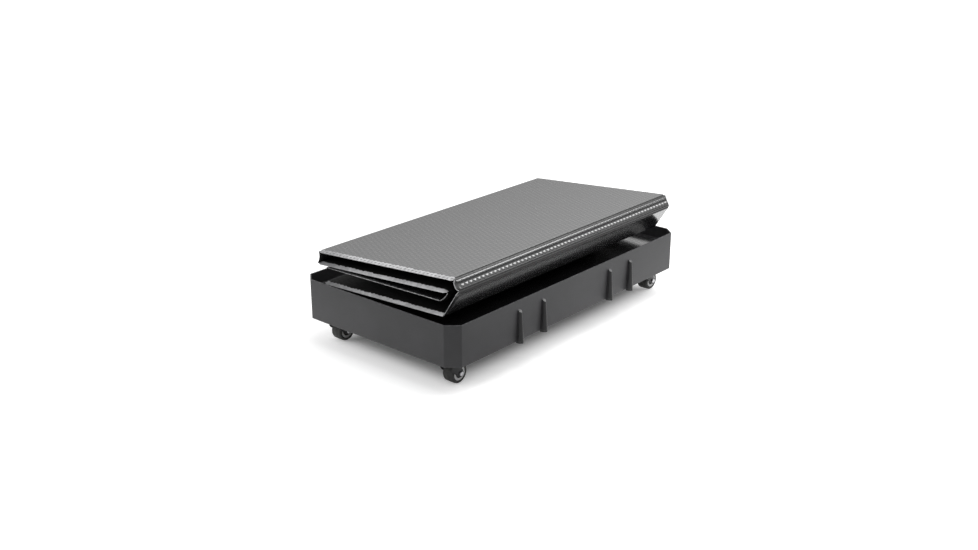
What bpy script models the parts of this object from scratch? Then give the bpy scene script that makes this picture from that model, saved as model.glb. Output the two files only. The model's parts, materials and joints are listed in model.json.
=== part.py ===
"""Mechanic's creeper: a moulded rolling tray on four swivel casters, carrying a fold-out mat.

Metres, +Z up, floor at z = 0, origin under the middle of the tray. +X is the front end, -Y the right side.
"""

import math

import bmesh
import bpy
from mathutils import Matrix, Vector

# Clearances
SEAT_GAP = 0.0003
MERGE = 0.00001

# Caster: a two inch wheel in a pressed fork, riveted to a screwed plate
WHEEL_RADIUS = 0.0254
TREAD_WIDTH = 0.0318
TYRE_EDGE_RADIUS = 0.0045
HUB_RADIUS = 0.0180
HUB_WIDTH = 0.0300
HUB_DISH_RADIUS = 0.0118
HUB_DISH_DEPTH = 0.0050
HUB_BOSS_RADIUS = 0.0062
AXLE_RADIUS = 0.0030
AXLE_HEAD_RADIUS = 0.0055
AXLE_HEAD_HEIGHT = 0.0034
AXLE_HEAD_FACE_RADIUS = 0.0044
AXLE_HEAD_CHAMFER = 0.0014
RUNNING_GAP = 0.0015
CHEEK_THICKNESS = 0.0025
CHEEK_EYE_RADIUS = 0.0090
CHEEK_SHOULDER_RADIUS = 0.0140
CASTER_TRAIL = 0.0146
WHEEL_TOP_GAP = 0.0050
CROWN_THICKNESS = 0.0030
CROWN_RADIUS = 0.0215
RACE_HEIGHT = 0.0126
RACE_RADIUS = 0.0190
RACE_NECK_RADIUS = 0.0135
RACE_WAIST_SHARE = 0.55
KINGPIN_RADIUS = 0.0050
KINGPIN_HEAD_RADIUS = 0.0085
KINGPIN_HEAD_HEIGHT = 0.0024
KINGPIN_CHAMFER = 0.0012
PLATE_LENGTH = 0.0620
PLATE_WIDTH = 0.0520
PLATE_THICKNESS = 0.0030
PLATE_CORNER = 0.0060
SCREW_SPACING_X = 0.0450
SCREW_SPACING_Y = 0.0350
SCREW_HOLE_RADIUS = 0.0026
SCREW_PILOT_RADIUS = 0.0018
SCREW_PILOT_DEPTH = 0.0180

# Tray: one moulding with a deep skirt below its deck and a low lip above it
TRAY_LENGTH = 0.900
TRAY_WIDTH = 0.500
WALL_HEIGHT = 0.102
WALL = 0.0030
CORNER_CUT_X = 0.026
CORNER_CUT_Y = 0.030
LIP_HEIGHT = 0.0333
DECK_THICKNESS = 0.0030
PLATE_RECESS = 0.0070
CASTER_INSET_X = 0.0550
CASTER_INSET_Y = 0.0623
PILLAR_RADIUS = 0.0055
BOSS_WEB = 0.0025
DECK_RIB = 0.0025
DECK_RIB_DEPTH = 0.0180
LONG_RIB_SPACING = 0.1400
CROSS_RIB_SPACING = 0.2400
SIDE_RIB_INNER = 0.135
SIDE_RIB_OUTER = 0.225
SIDE_RIB_TOP_GAP = 0.0220
SIDE_RIB_DROP = 0.0040
SIDE_RIB_FOOT = 0.0087
SIDE_RIB_HEAD = 0.0049
SIDE_RIB_BULGE = 1.6

# Mat: hollow board, pinched thin along its creases and sealed short at its two ends
BOARD = 0.0070
LIP = 0.0016
PINCH = 0.0140
PINCH_SHARE = 0.30
END_SEAL = 0.0054
CREASE_GAP = 0.0008
MAT_END_GAP = 0.0228
MAT_SHIFT = -0.0025

# Crease lines of the folded mat: gap to the nearer side wall, and height above the deck
BASE_EDGE_GAP = 0.018
LOWER_CREASE_GAP = 0.052
LOWER_CREASE_RISE = 0.0242
SPINE_FOOT_GAP = 0.048
SPINE_FOOT_RISE = 0.0439
SPINE_KNEE_GAP = 0.0057
SPINE_KNEE_RISE = 0.1106
SPINE_HEAD_GAP = 0.0186
SPINE_HEAD_RISE = 0.1363
TOP_EDGE_GAP = 0.0368
TOP_EDGE_RISE = 0.1013
INNER_CREASE_GAP = 0.0307
INNER_CREASE_RISE = 0.0704
HAIRPIN_GAP = 0.0342
HAIRPIN_RISE = 0.1021
HAIRPIN_FOOT_GAP = 0.0598
HAIRPIN_FOOT_RISE = 0.0765
END_EDGE_GAP = 0.0610
END_EDGE_RISE = 0.0646

# Facets of round pieces
WHEEL_STEPS = 28
PIN_STEPS = 16
HOLE_STEPS = 12
ARC_STEPS = 8
EDGE_STEPS = 3

# Heights that follow from the caster's stack, from the floor up
crown_low = 2 * WHEEL_RADIUS + WHEEL_TOP_GAP
crown_high = crown_low + CROWN_THICKNESS
race_low = crown_high + SEAT_GAP
race_high = race_low + RACE_HEIGHT
plate_low = race_high + SEAT_GAP
plate_high = plate_low + PLATE_THICKNESS
boss_low = plate_high + SEAT_GAP
skirt_low = plate_high - PLATE_RECESS
rim = skirt_low + WALL_HEIGHT
deck_high = rim - LIP_HEIGHT
deck_low = deck_high - DECK_THICKNESS
inner_half_width = TRAY_WIDTH / 2 - WALL
mat_length = TRAY_LENGTH - 2 * (WALL + MAT_END_GAP)
cheek_inner = TREAD_WIDTH / 2 + RUNNING_GAP
cheek_outer = cheek_inner + CHEEK_THICKNESS
pin_bore = KINGPIN_RADIUS + SEAT_GAP
axle_bore = AXLE_RADIUS + SEAT_GAP


def clear_scene():
    for obj in list(bpy.data.objects):
        bpy.data.objects.remove(obj)


def new_collection(name):
    made = bpy.data.collections.new(name)
    bpy.context.scene.collection.children.link(made)
    return made


def new_material(name, colour, roughness, metallic=0.0):
    made = bpy.data.materials.new(name)
    made.use_nodes = True
    shader = made.node_tree.nodes["Principled BSDF"]
    shader.inputs["Base Color"].default_value = (*colour, 1.0)
    shader.inputs["Roughness"].default_value = roughness
    shader.inputs["Metallic"].default_value = metallic
    return made


clear_scene()
parts = new_collection("mechanics_creeper")
helpers = new_collection("cutters_and_unions")

tray_plastic = new_material("tray_plastic", (0.055, 0.055, 0.060), 0.55)
mat_board = new_material("mat_board", (0.030, 0.030, 0.033), 0.38)
zinc = new_material("zinc_plated_steel", (0.62, 0.63, 0.65), 0.35, 1.0)
fork_steel = new_material("blackened_fork_steel", (0.035, 0.035, 0.037), 0.42, 0.6)
hub_plastic = new_material("hub_plastic", (0.60, 0.60, 0.60), 0.40)
tyre_rubber = new_material("tyre_rubber", (0.060, 0.058, 0.055), 0.70)


def meshed(obj):
    """The object as its modifiers leave it, as a plain mesh with coincident points merged."""
    bpy.context.view_layer.update()
    graph = bpy.context.evaluated_depsgraph_get()
    mesh = bpy.data.meshes.new_from_object(obj.evaluated_get(graph))
    bm = bmesh.new()
    bm.from_mesh(mesh)
    bmesh.ops.remove_doubles(bm, verts=bm.verts, dist=MERGE)
    bm.to_mesh(mesh)
    bm.free()
    bpy.data.objects.remove(obj)
    return mesh


def outline_mesh(name, points, thickness):
    """A flat outline in XY, thickened evenly about z = 0."""
    curve = bpy.data.curves.new(name, "CURVE")
    curve.dimensions = "2D"
    curve.fill_mode = "BOTH"
    curve.extrude = thickness / 2
    spline = curve.splines.new("POLY")
    spline.points.add(len(points) - 1)
    for point, (x, y) in zip(spline.points, points):
        point.co = (x, y, 0, 1)
    spline.use_cyclic_u = True
    obj = bpy.data.objects.new(name, curve)
    helpers.objects.link(obj)
    return meshed(obj)


def turned_mesh(name, profile, steps, ring=False):
    """A profile of (radius, height), listed down its outer side, turned about Z, and closed for a ring."""
    count = len(profile)
    edges = [(i, i + 1) for i in range(count - 1)]
    if ring:
        edges.append((count - 1, 0))
    mesh = bpy.data.meshes.new(name)
    mesh.from_pydata([(radius, 0, height) for radius, height in profile], edges, [])
    obj = bpy.data.objects.new(name, mesh)
    helpers.objects.link(obj)
    screw = obj.modifiers.new("Turn", "SCREW")
    screw.steps = steps
    screw.render_steps = steps
    screw.use_merge_vertices = True
    screw.merge_threshold = MERGE
    return meshed(obj)


def box_mesh(name, low, high):
    low, high = Vector(low), Vector(high)
    bm = bmesh.new()
    bmesh.ops.create_cube(bm, size=1.0)
    bmesh.ops.scale(bm, vec=high - low, verts=bm.verts)
    bmesh.ops.translate(bm, vec=(low + high) / 2, verts=bm.verts)
    mesh = bpy.data.meshes.new(name)
    bm.to_mesh(mesh)
    bm.free()
    return mesh


def rod_mesh(name, radius, low, high, steps=PIN_STEPS):
    return turned_mesh(name, [(0, high), (radius, high), (radius, low), (0, low)], steps)


def copies(name, mesh, matrices):
    """One mesh that holds the given mesh at each of the places."""
    bm = bmesh.new()
    for matrix in matrices:
        before = set(bm.verts)
        bm.from_mesh(mesh)
        bmesh.ops.transform(bm, matrix=matrix, verts=[v for v in bm.verts if v not in before])
    made = bpy.data.meshes.new(name)
    bm.to_mesh(made)
    bm.free()
    return made


def moved(mesh, matrix):
    mesh.transform(matrix)
    return mesh


def combine(obj, operation, mesh):
    """A Boolean on obj, with the mesh as its hidden helper."""
    helper = bpy.data.objects.new(mesh.name, mesh)
    helper.hide_render = True
    helper.display_type = "WIRE"
    helpers.objects.link(helper)
    modifier = obj.modifiers.new(mesh.name, "BOOLEAN")
    modifier.operation = operation
    modifier.object = helper


def combined_mesh(name, base, steps):
    """The base mesh after a list of Boolean steps, each an operation and a mesh."""
    obj = bpy.data.objects.new(name, base)
    helpers.objects.link(obj)
    for operation, mesh in steps:
        combine(obj, operation, mesh)
    return meshed(obj)


def smooth(mesh, angle=35):
    mesh.shade_smooth()
    mesh.set_sharp_from_angle(angle=math.radians(angle))
    return mesh


def add_part(name, mesh, material, parent, location=(0, 0, 0), rotation=(0, 0, 0)):
    obj = bpy.data.objects.new(name, mesh)
    obj.parent = parent
    obj.location = location
    obj.rotation_euler = rotation
    if not mesh.materials:
        mesh.materials.append(material)
    parts.objects.link(obj)
    return obj


def add_empty(name, parent=None, location=(0, 0, 0), rotation=(0, 0, 0)):
    empty = bpy.data.objects.new(name, None)
    empty.empty_display_size = 0.02
    empty.parent = parent
    empty.location = location
    empty.rotation_euler = rotation
    parts.objects.link(empty)
    return empty


def arc(centre, radius, start, end, steps=ARC_STEPS):
    """Points on an arc, angles in degrees."""
    angles = [math.radians(start + (end - start) * i / steps) for i in range(steps + 1)]
    return [(centre[0] + radius * math.cos(a), centre[1] + radius * math.sin(a)) for a in angles]


def cut_corner_rectangle(half_x, half_y, cut_x, cut_y):
    return [
        (half_x, -half_y + cut_y), (half_x, half_y - cut_y),
        (half_x - cut_x, half_y), (-half_x + cut_x, half_y),
        (-half_x, half_y - cut_y), (-half_x, -half_y + cut_y),
        (-half_x + cut_x, -half_y), (half_x - cut_x, -half_y),
    ]


def link_outline(eye, eye_radius, shoulder, shoulder_radius):
    """Two circles and the straight tangents between them."""
    dx, dy = shoulder[0] - eye[0], shoulder[1] - eye[1]
    along = math.degrees(math.atan2(dy, dx))
    lean = math.degrees(math.acos((eye_radius - shoulder_radius) / math.hypot(dx, dy)))
    around_shoulder = arc(shoulder, shoulder_radius, along - lean, along + lean)
    around_eye = arc(eye, eye_radius, along + lean, along + 360 - lean)
    return around_shoulder + around_eye


# Places of the four casters: name, swivel axis x and y
caster_x = TRAY_LENGTH / 2 - CASTER_INSET_X
caster_y = TRAY_WIDTH / 2 - CASTER_INSET_Y
caster_places = [
    ("front_left", caster_x, caster_y),
    ("front_right", caster_x, -caster_y),
    ("rear_left", -caster_x, caster_y),
    ("rear_right", -caster_x, -caster_y),
]
screw_places = [(sx * SCREW_SPACING_X / 2, sy * SCREW_SPACING_Y / 2) for sx in (1, -1) for sy in (1, -1)]

creeper = add_empty("creeper")


# Tray moulding
def side_rib_mesh():
    """Half of a tapered, dome-topped post, standing proud of the side wall."""
    foot, head = skirt_low - SIDE_RIB_DROP, rim - SIDE_RIB_TOP_GAP
    dome_start = head - SIDE_RIB_HEAD
    dome = arc((0, dome_start), SIDE_RIB_HEAD, 90, 0, EDGE_STEPS)
    post = turned_mesh("side_rib", dome + [(SIDE_RIB_FOOT, foot), (0, foot)], PIN_STEPS)
    post.transform(Matrix.Diagonal((1, SIDE_RIB_BULGE, 1, 1)))
    bm = bmesh.new()
    bm.from_mesh(post)
    cut = bmesh.ops.bisect_plane(
        bm, geom=bm.verts[:] + bm.edges[:] + bm.faces[:], dist=MERGE,
        plane_co=(0, -WALL / 2, 0), plane_no=(0, -1, 0), clear_outer=True,
    )
    rim_edges = [item for item in cut["geom_cut"] if isinstance(item, bmesh.types.BMEdge)]
    bmesh.ops.edgeloop_fill(bm, edges=rim_edges)
    bmesh.ops.recalc_face_normals(bm, faces=bm.faces)
    bm.to_mesh(post)
    bm.free()
    return post


def tray_mesh():
    """The wall with its cut corners: a block, hollowed above and below the deck."""
    half_x, half_y = TRAY_LENGTH / 2, TRAY_WIDTH / 2
    slant = math.hypot(1 / CORNER_CUT_X, 1 / CORNER_CUT_Y)
    inner_cut_x = CORNER_CUT_X * (1 + WALL * (slant - 1 / CORNER_CUT_Y)) - WALL
    inner_cut_y = CORNER_CUT_Y * (1 + WALL * (slant - 1 / CORNER_CUT_X)) - WALL
    outer = cut_corner_rectangle(half_x, half_y, CORNER_CUT_X, CORNER_CUT_Y)
    inner = cut_corner_rectangle(half_x - WALL, half_y - WALL, inner_cut_x, inner_cut_y)
    over = WALL
    block = moved(
        outline_mesh("tray_block", outer, WALL_HEIGHT),
        Matrix.Translation((0, 0, (rim + skirt_low) / 2)),
    )
    upper = moved(
        outline_mesh("upper_hollow", inner, LIP_HEIGHT + over),
        Matrix.Translation((0, 0, (deck_high + rim + over) / 2)),
    )
    lower = moved(
        outline_mesh("lower_hollow", inner, deck_low - skirt_low + over),
        Matrix.Translation((0, 0, (deck_low + skirt_low - over) / 2)),
    )
    return block, upper, lower


block, upper_hollow, lower_hollow = tray_mesh()
tray = add_part("tray_shell", block, tray_plastic, creeper)
combine(tray, "DIFFERENCE", upper_hollow)
combine(tray, "DIFFERENCE", lower_hollow)

into_deck = DECK_THICKNESS / 2
into_wall = WALL / 2
long_rib = box_mesh(
    "deck_ribs_lengthwise",
    (-TRAY_LENGTH / 2 + into_wall, -DECK_RIB / 2, deck_low - DECK_RIB_DEPTH),
    (TRAY_LENGTH / 2 - into_wall, DECK_RIB / 2, deck_low + into_deck),
)
cross_rib = box_mesh(
    "deck_ribs_crosswise",
    (-DECK_RIB / 2, -TRAY_WIDTH / 2 + into_wall, deck_low - DECK_RIB_DEPTH),
    (DECK_RIB / 2, TRAY_WIDTH / 2 - into_wall, deck_low + into_deck),
)
long_places = [Matrix.Translation((0, side * LONG_RIB_SPACING / 2, 0)) for side in (1, -1)]
cross_places = [Matrix.Translation((step * CROSS_RIB_SPACING, 0, 0)) for step in (-1, 0, 1)]
combine(tray, "UNION", copies("deck_ribs_lengthwise", long_rib, long_places))
combine(tray, "UNION", copies("deck_ribs_crosswise", cross_rib, cross_places))

pillar = rod_mesh("boss_pillars", PILLAR_RADIUS, boss_low, deck_low + into_deck, HOLE_STEPS)
web_x = box_mesh(
    "boss_webs_lengthwise",
    (-SCREW_SPACING_X / 2, -BOSS_WEB / 2, boss_low + BOSS_WEB),
    (SCREW_SPACING_X / 2, BOSS_WEB / 2, deck_low + into_deck),
)
web_y = box_mesh(
    "boss_webs_crosswise",
    (-BOSS_WEB / 2, -SCREW_SPACING_Y / 2, boss_low + BOSS_WEB),
    (BOSS_WEB / 2, SCREW_SPACING_Y / 2, deck_low + into_deck),
)
pilot_high = boss_low + SCREW_PILOT_DEPTH
pilot = rod_mesh("screw_pilots", SCREW_PILOT_RADIUS, boss_low - BOSS_WEB, pilot_high, HOLE_STEPS)
boss_places = [
    Matrix.Translation((x + sx, y + sy, 0)) for _, x, y in caster_places for sx, sy in screw_places
]
web_x_places = []
web_y_places = []
for _, x, y in caster_places:
    for side in (1, -1):
        web_x_places.append(Matrix.Translation((x, y + side * SCREW_SPACING_Y / 2, 0)))
        web_y_places.append(Matrix.Translation((x + side * SCREW_SPACING_X / 2, y, 0)))
combine(tray, "UNION", copies("boss_pillars", pillar, boss_places))
combine(tray, "UNION", copies("boss_webs_lengthwise", web_x, web_x_places))
combine(tray, "UNION", copies("boss_webs_crosswise", web_y, web_y_places))
combine(tray, "DIFFERENCE", copies("screw_pilots", pilot, boss_places))

side_rib = side_rib_mesh()
rib_places = []
for x in (-SIDE_RIB_OUTER, -SIDE_RIB_INNER, SIDE_RIB_INNER, SIDE_RIB_OUTER):
    left_side = Matrix.Translation((x, TRAY_WIDTH / 2, 0))
    right_side = Matrix.Translation((x, -TRAY_WIDTH / 2, 0)) @ Matrix.Rotation(math.pi, 4, "Z")
    rib_places += [left_side, right_side]
combine(tray, "UNION", copies("side_ribs", side_rib, rib_places))


# Caster pieces, each modelled once about its swivel axis or axle and shared by the four casters
def plate_mesh():
    half_x, half_y = PLATE_LENGTH / 2, PLATE_WIDTH / 2
    outline = cut_corner_rectangle(half_x, half_y, PLATE_CORNER, PLATE_CORNER)
    plate = moved(
        outline_mesh("caster_plate", outline, PLATE_THICKNESS),
        Matrix.Translation((0, 0, (plate_low + plate_high) / 2)),
    )
    hole = rod_mesh("plate_holes", SCREW_HOLE_RADIUS, plate_low - WALL, plate_high + WALL, HOLE_STEPS)
    holes = copies("plate_holes", hole, [Matrix.Translation((x, y, 0)) for x, y in screw_places])
    bore = rod_mesh("plate_bore", pin_bore, plate_low - WALL, plate_high + WALL)
    return combined_mesh("caster_plate", plate, [("DIFFERENCE", holes), ("DIFFERENCE", bore)])


def race_mesh():
    """The pressed cup that holds the swivel balls: wide below, drawn in to a neck under the plate."""
    waist = race_low + RACE_HEIGHT * RACE_WAIST_SHARE
    profile = [
        (pin_bore, race_high), (RACE_NECK_RADIUS, race_high),
        (RACE_RADIUS, waist), (RACE_RADIUS, race_low), (pin_bore, race_low),
    ]
    return smooth(turned_mesh("swivel_race", profile, WHEEL_STEPS, ring=True))


def kingpin_mesh():
    """A rivet with a flat head under the fork's crown and a formed head above the plate."""
    foot, top = crown_low - SEAT_GAP, plate_high + SEAT_GAP
    profile = [
        (0, top + KINGPIN_HEAD_HEIGHT),
        (KINGPIN_HEAD_RADIUS - KINGPIN_CHAMFER, top + KINGPIN_HEAD_HEIGHT),
        (KINGPIN_HEAD_RADIUS, top + KINGPIN_HEAD_HEIGHT - KINGPIN_CHAMFER), (KINGPIN_HEAD_RADIUS, top),
        (KINGPIN_RADIUS, top), (KINGPIN_RADIUS, foot),
        (KINGPIN_HEAD_RADIUS, foot), (KINGPIN_HEAD_RADIUS, foot - KINGPIN_HEAD_HEIGHT + KINGPIN_CHAMFER),
        (KINGPIN_HEAD_RADIUS - KINGPIN_CHAMFER, foot - KINGPIN_HEAD_HEIGHT), (0, foot - KINGPIN_HEAD_HEIGHT),
    ]
    return smooth(turned_mesh("kingpin", profile, PIN_STEPS))


def fork_mesh():
    """Crown disc and two raked cheeks that carry the axle behind the swivel axis."""
    crown = rod_mesh("fork_crown", CROWN_RADIUS, crown_low, crown_high, WHEEL_STEPS)
    shoulder = (0, crown_high - SEAT_GAP - CHEEK_SHOULDER_RADIUS)
    outline = link_outline((CASTER_TRAIL, WHEEL_RADIUS), CHEEK_EYE_RADIUS, shoulder, CHEEK_SHOULDER_RADIUS)
    upright = Matrix.Rotation(math.pi / 2, 4, "X")
    middle = (cheek_inner + cheek_outer) / 2
    cheek = outline_mesh("fork_cheeks", outline, CHEEK_THICKNESS)
    cheek_places = [Matrix.Translation((0, side * middle, 0)) @ upright for side in (1, -1)]
    cheeks = copies("fork_cheeks", cheek, cheek_places)
    across = Matrix.Translation((CASTER_TRAIL, 0, WHEEL_RADIUS)) @ upright
    reach = cheek_outer + WALL
    axle_hole = moved(rod_mesh("fork_axle_hole", axle_bore, -reach, reach), across)
    pin_hole = rod_mesh("fork_pin_hole", pin_bore, crown_low - WALL, crown_high + WALL)
    steps = [("UNION", cheeks), ("DIFFERENCE", axle_hole), ("DIFFERENCE", pin_hole)]
    return smooth(combined_mesh("fork", crown, steps))


def axle_mesh():
    """A shouldered bolt with a round head at one end and a lock nut, drawn as one, at the other."""
    outer = cheek_outer + SEAT_GAP
    end = outer + AXLE_HEAD_HEIGHT
    profile = [
        (0, end), (AXLE_HEAD_FACE_RADIUS, end), (AXLE_HEAD_RADIUS, end - AXLE_HEAD_CHAMFER),
        (AXLE_HEAD_RADIUS, outer), (AXLE_RADIUS, outer), (AXLE_RADIUS, -outer),
        (AXLE_HEAD_RADIUS, -outer), (AXLE_HEAD_RADIUS, -end), (0, -end),
    ]
    return smooth(turned_mesh("axle", profile, PIN_STEPS))


def hub_mesh():
    """A moulded hub: a rim, dished on both faces round a boss that runs on the axle."""
    half = HUB_WIDTH / 2
    boss_half = TREAD_WIDTH / 2 + RUNNING_GAP - SEAT_GAP
    floor = half - HUB_DISH_DEPTH
    upper = [
        (axle_bore, boss_half), (HUB_BOSS_RADIUS, boss_half), (HUB_BOSS_RADIUS, floor),
        (HUB_DISH_RADIUS, floor), (HUB_DISH_RADIUS, half), (HUB_RADIUS, half),
    ]
    lower = [(radius, -height) for radius, height in reversed(upper)]
    return smooth(turned_mesh("hub", upper + lower, WHEEL_STEPS, ring=True))


def tyre_mesh():
    """A solid tyre with rounded shoulders, bonded round the hub."""
    half = TREAD_WIDTH / 2
    inner = HUB_RADIUS + SEAT_GAP
    centre = (WHEEL_RADIUS - TYRE_EDGE_RADIUS, half - TYRE_EDGE_RADIUS)
    shoulder = arc(centre, TYRE_EDGE_RADIUS, 90, 0, EDGE_STEPS)
    upper = [(inner, half)] + shoulder
    lower = [(radius, -height) for radius, height in reversed(upper)]
    return smooth(turned_mesh("tyre", upper + lower, WHEEL_STEPS, ring=True))


plate_shape = plate_mesh()
race_shape = race_mesh()
kingpin_shape = kingpin_mesh()
fork_shape = fork_mesh()
axle_shape = axle_mesh()
hub_shape = hub_mesh()
tyre_shape = tyre_mesh()

on_axle = (math.pi / 2, 0, 0)
for place, x, y in caster_places:
    swivel = add_empty(f"{place}_swivel_axis", creeper, (x, y, 0))
    wheel = add_empty(f"{place}_axle_axis", swivel, (CASTER_TRAIL, 0, WHEEL_RADIUS), on_axle)
    add_part(f"{place}_caster_plate", plate_shape, zinc, creeper, (x, y, 0))
    add_part(f"{place}_swivel_race", race_shape, zinc, creeper, (x, y, 0))
    add_part(f"{place}_kingpin", kingpin_shape, zinc, creeper, (x, y, 0))
    add_part(f"{place}_fork", fork_shape, fork_steel, swivel)
    add_part(f"{place}_axle", axle_shape, zinc, swivel, (CASTER_TRAIL, 0, WHEEL_RADIUS), on_axle)
    add_part(f"{place}_hub", hub_shape, hub_plastic, wheel)
    add_part(f"{place}_tyre", tyre_shape, tyre_rubber, wheel)

# Mat: a chain of pinched boards, each hung on the crease it shares with the one before
base_middle = deck_high + SEAT_GAP + BOARD / 2
left, right = inner_half_width, -inner_half_width
creases = [
    (right + BASE_EDGE_GAP, base_middle),
    (left - LOWER_CREASE_GAP, base_middle),
    (left - LOWER_CREASE_GAP, deck_high + LOWER_CREASE_RISE),
    (right + SPINE_FOOT_GAP, deck_high + SPINE_FOOT_RISE),
    (right + SPINE_KNEE_GAP, deck_high + SPINE_KNEE_RISE),
    (right + SPINE_HEAD_GAP, deck_high + SPINE_HEAD_RISE),
    (left - TOP_EDGE_GAP, deck_high + TOP_EDGE_RISE),
    (left - INNER_CREASE_GAP, deck_high + INNER_CREASE_RISE),
    (right + HAIRPIN_GAP, deck_high + HAIRPIN_RISE),
    (right + HAIRPIN_FOOT_GAP, deck_high + HAIRPIN_FOOT_RISE),
    (left - END_EDGE_GAP, deck_high + END_EDGE_RISE),
]
panel_names = [
    "mat_base_panel", "mat_lower_gusset", "mat_middle_panel", "mat_spine_lower", "mat_spine_upper",
    "mat_top_panel", "mat_inner_gusset", "mat_inner_panel", "mat_hairpin_gusset", "mat_end_panel",
]
headings = [math.atan2(b[1] - a[1], b[0] - a[0]) for a, b in zip(creases, creases[1:])]
widths = [math.dist(a, b) for a, b in zip(creases, creases[1:])]


def crease_setback(before, after):
    """How far a board's lip stops from the crease, so that two folded lips clear each other."""
    turn = abs((after - before + math.pi) % (2 * math.pi) - math.pi)
    return LIP / 2 / math.tan((math.pi - turn) / 2) + CREASE_GAP / 2


def board_mesh(name, width, first_setback, last_setback):
    """A board along local +Y from its crease: full in the middle, pinched at creases, sealed at ends."""
    run = width - first_setback - last_setback
    bm = bmesh.new()
    bmesh.ops.create_cube(bm, size=1.0)
    bmesh.ops.scale(bm, vec=(mat_length, run, LIP), verts=bm.verts)
    bmesh.ops.translate(bm, vec=(0, first_setback + run / 2, 0), verts=bm.verts)
    broad = [face for face in bm.faces if abs(face.normal.z) > 0.5]
    slope = min(PINCH, run * PINCH_SHARE)
    swell = (BOARD - LIP) / 2
    bmesh.ops.inset_individual(bm, faces=broad, thickness=slope, depth=swell, use_even_offset=True)
    for skin in broad:
        for vert in skin.verts:
            vert.co.x = math.copysign(mat_length / 2 - END_SEAL, vert.co.x)
    mesh = bpy.data.meshes.new(name)
    bm.to_mesh(mesh)
    bm.free()
    return mesh


setbacks = [crease_setback(a, b) for a, b in zip(headings, headings[1:])]
first_setbacks = [0] + setbacks
last_setbacks = setbacks + [0]
carrier, along, before = creeper, (MAT_SHIFT, *creases[0]), 0
for name, width, heading, first, last in zip(panel_names, widths, headings, first_setbacks, last_setbacks):
    carrier = add_empty(f"{name}_crease", carrier, along, (heading - before, 0, 0))
    add_part(name, board_mesh(name, width, first, last), mat_board, carrier)
    along, before = (0, width, 0), heading
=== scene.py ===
# %% [markdown]
# # A rolling creeper tray with its folded mat
# The real object is a shallow charcoal moulding on four swivel casters. A black board mat lies folded in
# it. The measured solids are loaded first, and each visible piece is then made finer around them. A solid
# that gets a finer stand-in stays in the physics model and is only hidden from view.

import json
import math

import bmesh
import bpy
import numpy as np
from mathutils import Matrix, Vector

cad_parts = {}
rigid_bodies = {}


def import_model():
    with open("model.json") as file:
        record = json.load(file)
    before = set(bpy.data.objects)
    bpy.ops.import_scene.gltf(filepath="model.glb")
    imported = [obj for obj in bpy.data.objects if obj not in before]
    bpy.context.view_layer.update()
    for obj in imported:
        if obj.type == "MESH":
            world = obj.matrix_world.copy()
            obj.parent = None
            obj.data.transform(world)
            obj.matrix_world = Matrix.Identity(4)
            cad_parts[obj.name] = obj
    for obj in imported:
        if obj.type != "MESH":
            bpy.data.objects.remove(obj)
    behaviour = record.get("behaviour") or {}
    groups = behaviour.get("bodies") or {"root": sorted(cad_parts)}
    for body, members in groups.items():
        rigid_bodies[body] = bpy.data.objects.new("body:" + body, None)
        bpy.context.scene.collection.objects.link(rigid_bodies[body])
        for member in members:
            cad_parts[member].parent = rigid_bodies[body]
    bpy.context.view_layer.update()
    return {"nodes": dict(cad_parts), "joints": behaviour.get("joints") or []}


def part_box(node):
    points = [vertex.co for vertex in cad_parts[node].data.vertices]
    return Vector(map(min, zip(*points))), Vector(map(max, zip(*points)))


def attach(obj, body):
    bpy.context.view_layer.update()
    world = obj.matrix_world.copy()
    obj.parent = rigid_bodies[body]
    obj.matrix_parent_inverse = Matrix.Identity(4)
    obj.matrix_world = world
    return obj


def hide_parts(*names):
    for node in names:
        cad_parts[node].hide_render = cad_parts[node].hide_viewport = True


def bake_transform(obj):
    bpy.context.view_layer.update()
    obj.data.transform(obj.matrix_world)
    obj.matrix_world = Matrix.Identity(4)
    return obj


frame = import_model()
joints = {joint["name"]: joint for joint in frame["joints"]}

# %% [markdown]
# ## Nodes as sentences
# Materials and Geometry Nodes are both node trees. Clicking them together by hand suits a screen, but a
# script reads better when `1 - mask` adds a Math node by itself. One small class wraps an output socket for
# that, and one method makes any other node from its type, its settings and the values of its sockets.


# %% A socket that can be added and multiplied
class Socket:
    """An output of a node tree. Arithmetic on it adds Math nodes to the tree."""

    def __init__(self, tree, socket):
        self.tree = tree
        self.socket = socket

    def __add__(self, other):
        return self.tree.math("ADD", self, other)

    def __radd__(self, other):
        return self.tree.math("ADD", other, self)

    def __sub__(self, other):
        return self.tree.math("SUBTRACT", self, other)

    def __rsub__(self, other):
        return self.tree.math("SUBTRACT", other, self)

    def __mul__(self, other):
        return self.tree.math("MULTIPLY", self, other)

    def __rmul__(self, other):
        return self.tree.math("MULTIPLY", other, self)

    def __truediv__(self, other):
        return self.tree.math("DIVIDE", self, other)

    def __mod__(self, other):
        return self.tree.math("FLOORED_MODULO", self, other)

    def output(self, name):
        """Another output of the node that this socket belongs to."""
        return Socket(self.tree, self.socket.node.outputs[name])


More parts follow.
